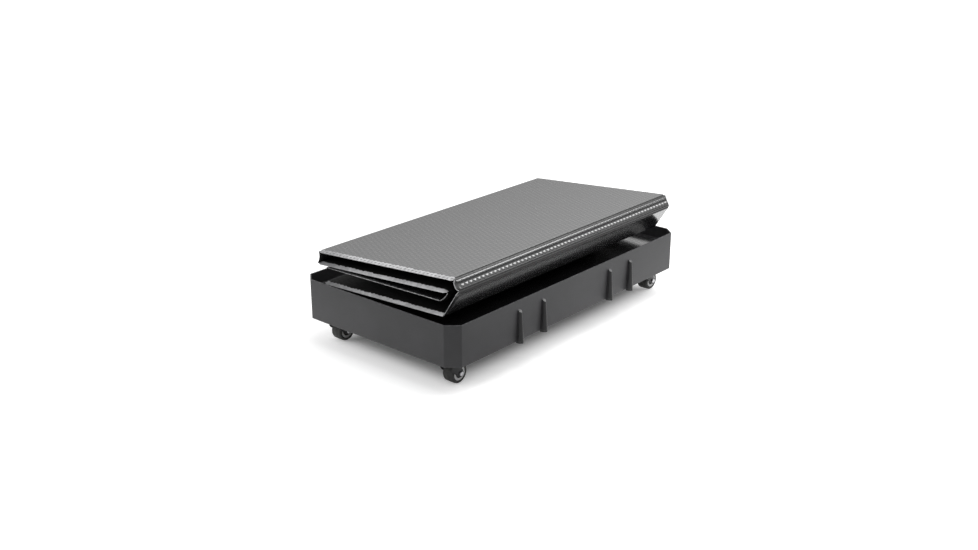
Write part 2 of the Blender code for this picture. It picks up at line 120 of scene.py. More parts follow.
class Nodes:
    """A node tree that is written as expressions."""

    def __init__(self, tree):
        self.tree = tree

    def fill(self, node, inputs):
        for key, value in inputs.items():
            if isinstance(value, Socket):
                self.tree.links.new(value.socket, node.inputs[key])
            else:
                node.inputs[key].default_value = value

    def node(self, kind, settings=None, inputs=None, output=0):
        made = self.tree.nodes.new(kind)
        for name, value in (settings or {}).items():
            setattr(made, name, value)
        self.fill(made, inputs or {})
        return Socket(self, made.outputs[output])

    def math(self, operation, *values):
        return self.node("ShaderNodeMath", {"operation": operation}, dict(enumerate(values)))

    def cosine(self, value):
        return self.math("COSINE", value)

    def step(self, value, low, high):
        """0 below low, 1 above high, and a smooth rise between them. High may be the smaller one."""
        inputs = {"Value": value, "From Min": low, "From Max": high}
        return self.node("ShaderNodeMapRange", {"interpolation_type": "SMOOTHSTEP"}, inputs)

    def mix(self, share, first, second):
        """From the first colour to the second."""
        return self.node("ShaderNodeMix", {"data_type": "RGBA"}, {0: share, 6: first, 7: second}, 2)

    def xyz(self, vector):
        apart = self.node("ShaderNodeSeparateXYZ", None, {0: vector})
        return [apart, apart.output("Y"), apart.output("Z")]

    def vector(self, x=0.0, y=0.0, z=0.0):
        return self.node("ShaderNodeCombineXYZ", None, {"X": x, "Y": y, "Z": z})


print("node helpers are ready")

# %% [markdown]
# ## Camera
# The photograph was measured from the tray's corners: they fix how far away the lens was, how high it stood
# and how wide it looked. A turn of the azimuth walks round the object and the elevation tips the camera
# down.

# %% Camera at the photograph's angle
IMAGE_WIDTH = 978
FOCAL_PIXELS = 1178.6
SENSOR_WIDTH = 36.0
CAMERA_PLACE = (-2.1898, -1.8509, 1.1801)
CAMERA_AZIMUTH = -49.249
CAMERA_ELEVATION = 20.512

scene = bpy.context.scene
camera_data = bpy.data.cameras.new("camera")
camera_data.sensor_width = SENSOR_WIDTH
camera_data.lens = SENSOR_WIDTH * FOCAL_PIXELS / IMAGE_WIDTH
camera = bpy.data.objects.new("camera", camera_data)
camera.location = CAMERA_PLACE
camera.rotation_euler = (math.radians(90 - CAMERA_ELEVATION), 0, math.radians(CAMERA_AZIMUTH))
scene.collection.objects.link(camera)
scene.camera = camera
print("camera: lens %.1f mm" % camera_data.lens)

# %% [markdown]
# ## Studio
# A pale sweep under wide soft lamps shows a dark moulding best, because the dark plastic mirrors the pale
# room in long soft streaks. The world is a soft dome of light. It is dimmer behind the camera, as a real
# studio is, and that keeps deep gaps black. To the lens it is plain white, which adds no light to the
# object. Mirror rays see a room that is dim low down and bright overhead, so the top of the mat shines and
# the walls stay dark.

# %% World
ROOM_LIGHT = 0.78
CAMERA_SIDE = (0.1, 0.9)
CAMERA_SIDE_DIM = 0.95
DIM_ROOM = 0.35
BRIGHT_ROOM = 1.12
CEILING_LEAN = 0.5
CEILING_RISE = 3
CEILING_EDGE = (0.74, 1.25)

scene.view_settings.view_transform = "Standard"
world = bpy.data.worlds.new("studio")
scene.world = world
world.use_nodes = True
studio = Nodes(world.node_tree)


def mirror_rays(tree):
    """1 for rays that left a glossy or clear surface."""
    rays = tree.node("ShaderNodeLightPath", output="Is Glossy Ray")
    return tree.math("MAXIMUM", rays, rays.output("Is Transmission Ray"))


def lens_rays(tree):
    return tree.node("ShaderNodeLightPath", output="Is Camera Ray")


heading = studio.xyz(studio.node("ShaderNodeTexCoord", output="Generated"))
ahead = Vector((0, 1, 0))
ahead.rotate(Matrix.Rotation(math.radians(CAMERA_AZIMUTH), 3, "Z"))
behind = heading[0] * -ahead.x - heading[1] * ahead.y
dome = ROOM_LIGHT * (1 - studio.step(behind, *CAMERA_SIDE) * CAMERA_SIDE_DIM)
ceiling = studio.step(heading[0] * CEILING_LEAN + heading[2] * CEILING_RISE, *CEILING_EDGE)
mirrored = DIM_ROOM + ceiling * (BRIGHT_ROOM - DIM_ROOM)
room = dome + mirror_rays(studio) * (mirrored - dome)
background = studio.math("MAXIMUM", room, lens_rays(studio))
studio.fill(world.node_tree.nodes["Background"], {"Color": (1, 1, 1, 1), "Strength": background})
print("world: room light", ROOM_LIGHT)

# %% [markdown]
# ### Floor
# The floor is an ordinary pale surface. A glow that only the lens and mirror rays see lifts it to white,
# and it keeps the shadow. The glow is weak under the tray, which paints the shadow deepest where the tray
# stands.
# A dark patch in the floor's glow by the near corner, which only mirror rays see, paints a darker
# reflection on that corner and on the near end of the long side. Away from it mirror rays see the glow
# brighter than the lens does, a painted brighter reflection.

# %% Floor
FLOOR_HALF = 14.0
FLOOR_COLOUR = (0.86, 0.86, 0.86, 1)
HALF_LENGTH = 0.450
HALF_WIDTH = 0.250
# the weak glow under the tray paints the floor's shadow there
UNDER_LIFT = 0.06
SHADOW_LIFT = 0.46
FAR_LIFT = 0.60
SHADOW_EDGE = (-0.10, -0.03)
FAR_EDGE = (0.7, 2.2)
# the dark patch that only mirror rays see, a painted reflection, and the gain of the glow for mirror rays
DARK_REFLECTION_SPOT = (-0.60, -0.75, 0)
DARK_REFLECTION_EDGE = (0.3, 1.1)
MIRROR_GAIN = 1.35


def new_finish(name, **constants):
    """A material, its node tree and its shader, with values that are the same all over."""
    material = bpy.data.materials.new(name)
    material.use_nodes = True
    shader = material.node_tree.nodes["Principled BSDF"]
    for key, value in constants.items():
        shader.inputs[key.replace("_", " ")].default_value = value
    return material, Nodes(material.node_tree), shader


def place_of(tree):
    """The point's place in the object's own metres."""
    return tree.node("ShaderNodeTexCoord", output="Object")


def pale_sweep():
    material, tree, shader = new_finish(
        "pale_sweep", Base_Color=FLOOR_COLOUR, Roughness=0.9, Specular_IOR_Level=0.1
    )
    place = place_of(tree)
    x, y, _ = tree.xyz(place)
    beside = [tree.math("ABSOLUTE", x) - HALF_LENGTH, tree.math("ABSOLUTE", y) - HALF_WIDTH]
    outside = tree.step(tree.math("MAXIMUM", *beside), *SHADOW_EDGE)
    # painted shadow: the glow is weak under the tray's footprint and rises outside it
    near_lift = UNDER_LIFT + outside * (SHADOW_LIFT - UNDER_LIFT)
    away = tree.node("ShaderNodeVectorMath", {"operation": "LENGTH"}, {0: place}, "Value")
    lift = near_lift + tree.step(away, *FAR_EDGE) * (FAR_LIFT - near_lift)
    # painted reflection: mirror rays see a dark patch by the near corner and a brighter glow elsewhere
    dark_spot_distance = tree.node("ShaderNodeVectorMath", {"operation": "DISTANCE"}, {0: place, 1: DARK_REFLECTION_SPOT}, "Value")
    mirror_share = tree.step(dark_spot_distance, *DARK_REFLECTION_EDGE) * MIRROR_GAIN
    seen_share = mirror_share + lens_rays(tree) * (1 - mirror_share)
    glow = tree.math("MAXIMUM", lens_rays(tree), mirror_rays(tree))
    tree.fill(shader, {"Emission Color": lift * seen_share, "Emission Strength": glow})
    return material


floor_shape = bmesh.new()
bmesh.ops.create_grid(floor_shape, x_segments=1, y_segments=1, size=FLOOR_HALF)
floor_mesh = bpy.data.meshes.new("floor")
floor_shape.to_mesh(floor_mesh)
floor_shape.free()
floor_mesh.materials.append(pale_sweep())
floor = bpy.data.objects.new("floor", floor_mesh)
scene.collection.objects.link(floor)
print("floor: lift", SHADOW_LIFT, "to", FAR_LIFT)

# %% [markdown]
# ### Lamps
# Three soft boxes light the object. One hangs overhead, one stands beyond the far corner of the right-hand
# side, and one stands off the near end and lights its wall. A larger box of the same energy is dimmer, so
# each is written as the brightness of its face, and the energy follows from its size.


# %% Lamps
def lamp(name, place, target, width, height, brightness):
    """A soft box of that size, whose face is as bright as the given radiance."""
    data = bpy.data.lights.new(name, "AREA")
    data.shape = "RECTANGLE"
    data.size = width
    data.size_y = height
    data.energy = brightness * math.pi * width * height
    obj = bpy.data.objects.new(name, data)
    obj.location = place
    obj.rotation_euler = (Vector(target) - Vector(place)).to_track_quat("-Z", "Y").to_euler()
    obj.visible_camera = False
    scene.collection.objects.link(obj)


lamp("overhead_softbox", (-0.2, -0.2, 2.6), (0, 0, 0.2), width=1.3, height=0.9, brightness=4.0)
lamp("right_softbox", (1.53, -1.0, 1.87), (0, -0.2, 0.2), width=1.3, height=1.3, brightness=5.4)
lamp("end_softbox", (-2.2, 1.3, 1.4), (-0.5, 0.1, 0.06), width=1.2, height=1.2, brightness=3.0)

# %% [markdown]
# ## Finishes
# Each finish is one material. The small things that make a surface real are worked out from the point's
# place on the object, such as moulded grain, wipe marks and rubbed edges, and they feed colour, roughness
# and bump.


# %% Common patterns of the finishes
def noise(tree, place, scale, detail=2.0, roughness=0.5):
    inputs = {"Vector": place, "Scale": scale, "Detail": detail, "Roughness": roughness}
    return tree.node("ShaderNodeTexNoise", None, inputs)


def stretched(tree, place, scale):
    """The place squeezed or stretched along its axes, for streaks."""
    return tree.node("ShaderNodeMapping", None, {"Vector": place, "Scale": scale})


def mark_of(tree, name):
    """A number that is written on the points of the mesh."""
    return tree.node("ShaderNodeAttribute", {"attribute_name": name}, output="Fac")


def bump(tree, height, distance, strength, under=None):
    inputs = {"Height": height, "Distance": distance, "Strength": strength}
    if under is not None:
        inputs["Normal"] = under
    return tree.node("ShaderNodeBump", None, inputs)


def feed(tree, shader, base, roughness, relief):
    """Gives the shader its colour, its roughness and its bump."""
    tree.fill(shader, {"Base Color": base, "Roughness": roughness, "Normal": relief})


def grey(value, tint=0.0):
    """A neutral colour, a little blue for a positive tint."""
    return (value, value, value * (1 + tint), 1)


print("finish helpers are ready")

# %% [markdown]
# ### Charcoal moulding
# Polypropylene from a textured mould has an even, fine grain that scatters light. Handling polishes it in
# patches and leaves pale rubs near the rim and along the foot of the skirt. The side ribs come from a
# smoother part of the mould, so they scatter less. They are also painted darker below their heads as
# shade, and the heads are left lit.

# %% Tray finish
RIM_HEIGHT = 0.1700
SKIRT_HEIGHT = 0.0680
RUB_RIM = 0.003
RUB_FOOT = 0.004
RIB_PROUD = (HALF_WIDTH + 0.001, HALF_WIDTH + 0.004)
# the heights where the painted shade on the ribs fades out below their heads
RIB_SHADE_FADE = (0.1425, 0.1405)


def moulded_charcoal():
    material, tree, shader = new_finish("moulded_charcoal", Specular_IOR_Level=0.32)
    place = place_of(tree)
    _, side, height = tree.xyz(place)
    grain = noise(tree, place, 1500, detail=3, roughness=0.6)
    cloud = noise(tree, place, 9, detail=3, roughness=0.55)
    wipes = noise(tree, stretched(tree, place, (6, 6, 60)), 3, detail=3, roughness=0.6)
    near_rim = tree.step(height, RIM_HEIGHT - RUB_RIM, RIM_HEIGHT)
    near_foot = tree.step(height, SKIRT_HEIGHT + RUB_FOOT, SKIRT_HEIGHT)
    proud = tree.step(tree.math("ABSOLUTE", side), *RIB_PROUD)
    rib_shade = proud * tree.step(height, *RIB_SHADE_FADE)
    rub = (near_rim + near_foot) * tree.step(noise(tree, place, 130, detail=4, roughness=0.7), 0.42, 0.66)
    base = tree.mix(tree.step(cloud, 0.3, 0.7), grey(0.040, 0.05), grey(0.050, 0.05))
    # painted shade: the ribs are darker below their heads
    base = tree.mix(rib_shade * 0.75, base, grey(0.012, 0.05))
    base = tree.mix(rub * 0.5, base, grey(0.14, 0.03))
    roughness = 0.38 + cloud * 0.10 + wipes * 0.06 - rub * 0.08 - proud * 0.16
    feed(tree, shader, base, roughness, bump(tree, grain, distance=0.00012, strength=0.55))
    return material


charcoal = moulded_charcoal()
print("finish:", charcoal.name)

# %% [markdown]
# ### Bubble board
# The mat is a hollow board: two black skins over a core of bubbles packed like honeycomb. The bubbles show
# through the glossy skins as faint swells. Three cosine waves, turned sixty degrees from each other, add up
# to exactly that packing. Where an end is welded shut the plastic is painted pale, partly as whitened weld
# and partly as a painted highlight, palest towards the spine. The pale band is scalloped by the last
# bubbles, and each row leaves a dark dent in it. The skin that is folded inwards is matt and painted
# darker, a painted shade that keeps the deep gaps of the mat black, and so is a crushed crease. All of it
# follows each panel, so it reads the panel's own flat map in metres. Two marks on the points say how deep a
# point lies in the welded band and how matt and painted dark its skin is.

# %% Mat finish
BUBBLE_PITCH = 0.0138
ROW_GAP = BUBBLE_PITCH * math.sqrt(3) / 2
SCALLOP = 0.0005
RAGGED = 0.0030
WELD_START = 0.0020
WELD_EDGE = (WELD_START - 0.0002, WELD_START + 0.0004)
WELD_BAND = (0.0, 0.0003)
# where the painted highlight in the pale weld band fades, away from the spine
WELD_HIGHLIGHT_FADE = (0.04, 0.21)
WELD_HIGHLIGHT_FADE_SHARE = 0.55
DENT_FROM = 0.0050
DENT_TO = 0.0076
DENT_SOFT = 0.0006
DENT_SPREAD = (0.22, 0.12)
DENT_SLANT = 2.5
PANEL_MAP = "panel"
WELD_MARK = "weld"
# the mark for the inner skin, crushed creases and webs: matt, and painted darker as shade
MATT_SHADE_MARK = "inner"


def bubble_swell(tree, along):
    """A honeycomb of swells on the panel's own map, from 0 in the hollows to 1 on the crowns."""
    turn = 2 * math.pi / ROW_GAP
    lean = turn * math.cos(math.pi / 6)
    rise = turn * math.sin(math.pi / 6)
    first = tree.cosine(along[0] * lean + along[1] * rise)
    second = tree.cosine(along[0] * lean - along[1] * rise)
    third = tree.cosine(along[1] * turn)
    return (first + second + third + 1.5) / 4.5


def weld_dents(tree, along, depth):
    """One slanted dent for each row of bubbles, halfway across the welded band."""
    beside = tree.math("ABSOLUTE", (along[1] - depth * DENT_SLANT) / ROW_GAP % 1.0 - 0.5)
    started = tree.step(depth, DENT_FROM, DENT_FROM + DENT_SOFT)
    across = started * tree.step(depth, DENT_TO, DENT_TO - DENT_SOFT)
    uneven = tree.step(noise(tree, place_of(tree), 70, detail=1), 0.25, 0.45)
    return tree.step(beside, *DENT_SPREAD) * across * uneven


def board_skin():
    material, tree, shader = new_finish(
        "board_skin", Specular_IOR_Level=0.16, Coat_IOR=1.8, Coat_Roughness=0.14
    )
    place = place_of(tree)
    along = tree.xyz(tree.node("ShaderNodeUVMap", {"uv_map": PANEL_MAP}))
    depth = mark_of(tree, WELD_MARK)
    inner = mark_of(tree, MATT_SHADE_MARK)
    swell = bubble_swell(tree, along)
    dents = weld_dents(tree, along, depth) * (1 - inner)
    ragged = (noise(tree, place, 75, detail=2) - 0.5) * (inner * RAGGED + RAGGED)
    edge = depth + tree.cosine(along[1] * (2 * math.pi / ROW_GAP)) * SCALLOP + ragged
    # the pale weld band: partly whitened plastic, partly a painted highlight that fades away from the spine
    weld_pale_and_highlight = tree.step(edge, *WELD_EDGE) * (1 - dents * 0.9) * tree.step(depth, *WELD_BAND)
    weld_pale_and_highlight = weld_pale_and_highlight * (1 - tree.step(tree.xyz(place)[1], *WELD_HIGHLIGHT_FADE) * WELD_HIGHLIGHT_FADE_SHARE)
    mottle = tree.step(noise(tree, place, 60, detail=3, roughness=0.6), 0.3, 0.7)
    haze = noise(tree, place, 7, detail=4, roughness=0.6)
    streaks = noise(tree, stretched(tree, place, (4, 90, 30)), 4, detail=5, roughness=0.7)
    scratch = tree.step(streaks, 0.62, 0.8)
    fine = noise(tree, place, 900, detail=2, roughness=0.5)
    base = tree.mix(tree.step(haze, 0.3, 0.7), grey(0.008, 0.06), grey(0.013, 0.06))
    # painted shade: the inner skin and crushed creases are darker, so the deep gaps stay black
    base = tree.mix(inner, base, grey(0.005))
    base = tree.mix(scratch * 0.15, base, grey(0.045, 0.03))
    base = tree.mix(weld_pale_and_highlight, base, tree.mix(mottle, grey(0.70, 0.02), grey(0.50, 0.02)))
    roughness = 0.19 + haze * 0.08 - swell * 0.05 + scratch * 0.1 + weld_pale_and_highlight * 0.15 + inner * 0.45
    relief = bump(tree, swell - dents, distance=0.00015, strength=0.9)
    relief = bump(tree, fine, distance=0.000007, strength=0.5, under=relief)
    gloss = (0.72 + swell * 0.28) * (1 - inner)
    feed(tree, shader, base, roughness, relief)
    tree.fill(shader, {"Coat Weight": gloss})
    return material


board = board_skin()
print("finish:", board.name)

# %% [markdown]
# ### Caster finishes
# Zinc plating is a bright, slightly blotchy metal. The fork is black lacquer over steel, the hub a pale
# plastic ring round a dish that is painted dark as shade, and the tyre a grey-black rubber that picks up
# dust in patches. A mark on the hub's points says where the dish is, for its painted shade.

# %% Zinc, lacquer, hub plastic and rubber
DISH_SHADE_MARK = "dish"


def zinc_plating():
    material, tree, shader = new_finish("zinc_plating", Metallic=1.0)
    place = place_of(tree)
    spangle = noise(tree, place, 260, detail=3, roughness=0.6)
    stain = noise(tree, place, 60, detail=3, roughness=0.6)
    base = tree.mix(tree.step(stain, 0.35, 0.7), grey(0.62, 0.03), grey(0.50, 0.02))
    roughness = 0.26 + spangle * 0.16
    feed(tree, shader, base, roughness, bump(tree, spangle, distance=0.00004, strength=0.5))
    return material


def black_lacquer():
    material, tree, shader = new_finish("black_lacquer", Coat_Weight=0.1, Specular_IOR_Level=0.35)
    place = place_of(tree)
    peel = noise(tree, place, 420, detail=2, roughness=0.5)
    dust = tree.step(noise(tree, place, 90, detail=4, roughness=0.65), 0.5, 0.8)
    base = tree.mix(dust * 0.3, grey(0.008, 0.04), grey(0.040))
    roughness = 0.36 + dust * 0.2
    feed(tree, shader, base, roughness, bump(tree, peel, distance=0.00006, strength=0.4))
    return material


def pale_hub():
    material, tree, shader = new_finish("pale_hub")
    place = place_of(tree)
    mottle = noise(tree, place, 150, detail=3, roughness=0.6)
    dish = mark_of(tree, DISH_SHADE_MARK)
    base = tree.mix(tree.step(mottle, 0.3, 0.75), grey(0.64), grey(0.54))
    # painted shade: the dish in the hub is painted nearly black
    base = tree.mix(dish, base, grey(0.020, -0.03))
    roughness = 0.34 + mottle * 0.14
    feed(tree, shader, base, roughness, bump(tree, mottle, distance=0.00004, strength=0.3))
    return material


def dusty_rubber():
    material, tree, shader = new_finish("dusty_rubber")
    place = place_of(tree)
    pores = noise(tree, place, 1300, detail=3, roughness=0.6)
    dust = noise(tree, place, 110, detail=4, roughness=0.65)
    base = tree.mix(tree.step(dust, 0.45, 0.75) * 0.5, grey(0.030, -0.04), grey(0.085, -0.08))
    roughness = 0.60 + dust * 0.2
    feed(tree, shader, base, roughness, bump(tree, pores, distance=0.00010, strength=0.5))
    return material


zinc = zinc_plating()
lacquer = black_lacquer()
hub_plastic = pale_hub()
rubber = dusty_rubber()
print("finishes:", zinc.name, lacquer.name, hub_plastic.name, rubber.name)

# %% [markdown]
# ## Shaping tools
# A moulded or pressed edge is never sharp, and a thin bright line along an edge is often what the eye sees
# first. So outlines and turned profiles are written as plain corners, and one function rounds every corner.


# %% Rounded corners, turned pieces and flat outlines
SAME_PLACE = 1e-6


def rounded(corners, radii, steps=3, closed=True):
    """The polygon with each corner replaced by an arc. Radii is one size, or one for each corner."""
    count = len(corners)
    radii = [radii] * count if isinstance(radii, (int, float)) else radii
    made = []
    for i, (corner, radius) in enumerate(zip(corners, radii)):
        here = Vector(corner)
        ends = not closed and i in (0, count - 1)
        if ends or radius <= 0:
            made.append(here)
            continue
        back = (Vector(corners[i - 1]) - here).normalized()
        ahead = (Vector(corners[(i + 1) % count]) - here).normalized()
        half = back.angle(ahead) / 2
        reach = radius / math.tan(half)
        centre = here + (back + ahead).normalized() * (radius / math.sin(half))
        first = here + back * reach - centre
        last = here + ahead * reach - centre
        sweep_angle = first.angle(last)
        for k in range(steps + 1):
            share = k / steps
            blend = first * math.sin((1 - share) * sweep_angle) + last * math.sin(share * sweep_angle)
            made.append(centre + blend / math.sin(sweep_angle))
    return [tuple(point) for point in made]


def dressed(name, mesh, material, smooth_angle):
    """A mesh as an object in one finish, smooth apart from its sharp edges."""
    mesh.name = name
    mesh.shade_smooth()
    mesh.set_sharp_from_angle(angle=math.radians(smooth_angle))
    mesh.materials.clear()
    mesh.materials.append(material)
    piece = bpy.data.objects.new(name, mesh)
    scene.collection.objects.link(piece)
    return piece


def add_piece(name, mesh, material, body, replaced=(), smooth_angle=40):
    """A finished mesh as a piece that rides on a body."""
    piece = dressed(name, mesh, material, smooth_angle)
    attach(piece, body)
    if replaced:
        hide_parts(*replaced)
    return piece


def mesh_of(bm):
    mesh = bpy.data.meshes.new("shape")
    bm.to_mesh(mesh)
    bm.free()
    return mesh


def closed_mesh(bm):
    """The mesh with its doubles merged and its faces turned outwards."""
    bmesh.ops.remove_doubles(bm, verts=bm.verts, dist=SAME_PLACE)
    bmesh.ops.recalc_face_normals(bm, faces=bm.faces)
    return mesh_of(bm)


def turned(profile, steps=64, closed=False):
    """A profile of (radius, height) turned about Z: a ring if closed, or else solid from the axis."""
    bm = bmesh.new()
    verts = [bm.verts.new((radius, 0, height)) for radius, height in profile]
    pairs = list(zip(verts, verts[1:] + verts[:1])) if closed else list(zip(verts, verts[1:]))
    edges = [bm.edges.new(pair) for pair in pairs]
    bmesh.ops.spin(bm, geom=verts + edges, cent=(0, 0, 0), axis=(0, 0, 1), angle=2 * math.pi, steps=steps)
    return closed_mesh(bm)


def baked(obj):
    """The object as its modifiers leave it, as a plain mesh. The object itself is removed."""
    bpy.context.view_layer.update()
    graph = bpy.context.evaluated_depsgraph_get()
    mesh = bpy.data.meshes.new_from_object(obj.evaluated_get(graph))
    bpy.data.objects.remove(obj)
    return mesh


def flat_plate(outlines, thickness, edge):
    """A plate cut to the first outline, with the others as holes, and a small round on every edge."""
    curve = bpy.data.curves.new("plate", "CURVE")
    curve.dimensions = "2D"
    curve.fill_mode = "BOTH"
    curve.extrude = thickness / 2 - edge
    curve.bevel_depth = edge
    curve.bevel_resolution = 1
    curve.offset = -edge
    for outline in outlines:
        spline = curve.splines.new("POLY")
        spline.points.add(len(outline) - 1)
        for point, (x, y) in zip(spline.points, outline):
            point.co = (x, y, 0, 1)
        spline.use_cyclic_u = True
    obj = bpy.data.objects.new("plate", curve)
    scene.collection.objects.link(obj)
    bm = bmesh.new()
    bm.from_mesh(baked(obj))
    return closed_mesh(bm)


def circle(radius, centre=(0, 0), steps=24):
    angles = [2 * math.pi * i / steps for i in range(steps)]
    return [(centre[0] + radius * math.cos(a), centre[1] + radius * math.sin(a)) for a in angles]


def placed(mesh, *matrices):
    """A copy of the mesh, moved by the matrices in order."""
    made = mesh.copy()
    for matrix in matrices:
        made.transform(matrix)
    return made


def joined(meshes):
    bm = bmesh.new()
    for mesh in meshes:
        bm.from_mesh(mesh)
    return mesh_of(bm)


def shift(x=0, y=0, z=0):
    return Matrix.Translation((x, y, z))


print("shaping tools are ready")

# %% [markdown]
# ## Patterns of pieces
# Ribs, bosses, screws and bubbles repeat, so Geometry Nodes lay them out: a tree makes the points, puts a
# shape on each and turns the copies into real faces. Its sizes are named inputs, so one tree serves every
# place.


# %% Geometry Nodes helpers
SOCKET_KINDS = {float: "NodeSocketFloat", int: "NodeSocketInt", bpy.types.Object: "NodeSocketObject"}


class Pattern(Nodes):
    """A Geometry Nodes tree with named inputs, which ends in real faces."""

    def __init__(self, name, sizes):
        super().__init__(bpy.data.node_groups.new(name, "GeometryNodeTree"))
        self.values = sizes
        face = self.tree.interface
        face.new_socket(name="Geometry", in_out="OUTPUT", socket_type="NodeSocketGeometry")
        for key, value in sizes.items():
            face.new_socket(name=key, in_out="INPUT", socket_type=SOCKET_KINDS[type(value)])
        self.inlet = self.tree.nodes.new("NodeGroupInput")
        self.outlet = self.tree.nodes.new("NodeGroupOutput")

    def size(self, name):
        return Socket(self, self.inlet.outputs[name])

    def line(self, count, offset, start=(0, 0, 0)):
        inputs = {"Count": count, "Start Location": start, "Offset": offset}
        return self.node("GeometryNodeMeshLine", None, inputs)

    def grid(self, size_x, size_y, count):
        inputs = {"Size X": size_x, "Size Y": size_y, "Vertices X": count, "Vertices Y": count}
        return self.node("GeometryNodeMeshGrid", None, inputs)

    def box(self, size):
        return self.node("GeometryNodeMeshCube", None, {"Size": size})

    def move(self, geometry, translation=(0, 0, 0), rotation=(0, 0, 0)):
        inputs = {"Geometry": geometry, "Translation": translation, "Rotation": rotation}
        return self.node("GeometryNodeTransform", None, inputs)

    def on_points(self, points, instance):
        return self.node("GeometryNodeInstanceOnPoints", None, {"Points": points, "Instance": instance})

    def join(self, *parts):
        made = self.tree.nodes.new("GeometryNodeJoinGeometry")
        for part in parts:
            self.tree.links.new(part.socket, made.inputs[0])
        return Socket(self, made.outputs[0])

    def shape_of(self, name):
        """The mesh of an object that is given as an input."""
        return self.node("GeometryNodeObjectInfo", None, {"Object": self.size(name)}, "Geometry")

    def real(self, geometry):
        """Copies as faces of their own."""
        return self.node("GeometryNodeRealizeInstances", None, {"Geometry": geometry})

    def end(self, geometry, material):
        inputs = {"Geometry": self.real(geometry), "Material": material}
        finished = self.node("GeometryNodeSetMaterial", None, inputs)
        self.tree.links.new(finished.socket, self.outlet.inputs[0])

    def mesh(self):
        """The pattern as a plain mesh."""
        obj = bpy.data.objects.new(self.tree.name, bpy.data.meshes.new(self.tree.name))
        scene.collection.objects.link(obj)
        modifier = obj.modifiers.new("pattern", "NODES")
        modifier.node_group = self.tree
        for item in self.tree.interface.items_tree:
            if item.in_out == "INPUT":
                modifier[item.identifier] = self.values[item.name]
        return baked(obj)


print("pattern helpers are ready")

# %% [markdown]
# ## The tray
# The tray is one thin wall folded round a deck: a low lip above it and a deep skirt below. Its whole
# section is a single line, so the shell is made by sweeping that line round the cut-corner outline, ring by
# ring.

# %% Tray shell
CORNER_CUT_X = 0.026
CORNER_CUT_Y = 0.030
CORNER_ROUND = 0.0045
LEAST_ROUND = 0.0006
WALL = 0.0030
DECK_HEIGHT = 0.1367
DECK_UNDER = 0.1337
DECK_EDGE = 0.0090


def tray_outline(inset):
    """The cut-corner outline, moved in by the inset all round."""
    slant = math.hypot(1 / CORNER_CUT_X, 1 / CORNER_CUT_Y)
    cut_x = CORNER_CUT_X * (1 + inset * (slant - 1 / CORNER_CUT_Y)) - inset
    cut_y = CORNER_CUT_Y * (1 + inset * (slant - 1 / CORNER_CUT_X)) - inset
    x, y = HALF_LENGTH - inset, HALF_WIDTH - inset
    corners = [
        (x, -y + cut_y), (x, y - cut_y), (x - cut_x, y), (-x + cut_x, y),
        (-x, y - cut_y), (-x, -y + cut_y), (-x + cut_x, -y), (x - cut_x, -y),
    ]
    return rounded(corners, max(CORNER_ROUND - inset, LEAST_ROUND), steps=4)


def swept_tray():
    corners = [
        (DECK_EDGE, DECK_HEIGHT), (WALL, DECK_HEIGHT), (WALL, RIM_HEIGHT), (0, RIM_HEIGHT),
        (0, SKIRT_HEIGHT), (WALL, SKIRT_HEIGHT), (WALL, DECK_UNDER), (DECK_EDGE, DECK_UNDER),
    ]
    section = rounded(corners, [0, 0.003, 0.0006, 0.0006, 0.0008, 0.0008, 0.002, 0], closed=False)
    bm = bmesh.new()
    rings = [[bm.verts.new((x, y, z)) for x, y in tray_outline(inset)] for inset, z in section]
    for ring, after in zip(rings, rings[1:]):
        for i in range(len(ring)):
            bm.faces.new((ring[i - 1], ring[i], after[i], after[i - 1]))
    bm.faces.new(rings[0])
    bm.faces.new(rings[-1])
    bmesh.ops.recalc_face_normals(bm, faces=bm.faces)
    return mesh_of(bm)


tray = add_piece("tray_moulding", swept_tray(), charcoal, "tray", ["tray_shell"], 30)
print("tray:", len(tray.data.polygons), "faces")

# %% [markdown]
# ### Side ribs
# Each long side carries two pairs of tapered posts, which stand half out of the wall. Their heads slope
# outwards and catch the light. One post is turned and cut through twice, and the pattern sets it in pairs
# on both sides.

# %% Side ribs
RIB_GAP = 0.090
RIB_PAIR_GAP = 0.360
RIB_FOOT = 0.0087
RIB_HEAD = 0.0049
RIB_BULGE = 1.6
RIB_SLOPE = math.radians(38)
RIB_SLOPE_DROP = 0.0004
RIB_TOP = 0.1480
RIB_BOTTOM = 0.0640


def half_post():
    corners = [(0, RIB_TOP), (RIB_HEAD, RIB_TOP), (RIB_FOOT, RIB_BOTTOM), (0, RIB_BOTTOM)]
    post = turned(rounded(corners, [0, 0.0046, 0.0012, 0], steps=6, closed=False), steps=40)
    post.transform(Matrix.Diagonal((1, RIB_BULGE, 1, 1)))
    bm = bmesh.new()
    bm.from_mesh(post)
    back = (0, -WALL / 2, 0), (0, -1, 0)
    slope = (0, 0, RIB_TOP - RIB_SLOPE_DROP), (0, math.sin(RIB_SLOPE), math.cos(RIB_SLOPE))
    for place, normal in (back, slope):
        everything = bm.verts[:] + bm.edges[:] + bm.faces[:]
        cut = bmesh.ops.bisect_plane(bm, geom=everything, plane_co=place, plane_no=normal, clear_outer=True)
        cut_edges = [item for item in cut["geom_cut"] if isinstance(item, bmesh.types.BMEdge)]
        bmesh.ops.edgeloop_fill(bm, edges=cut_edges)
    bmesh.ops.recalc_face_normals(bm, faces=bm.faces)
    return mesh_of(bm)


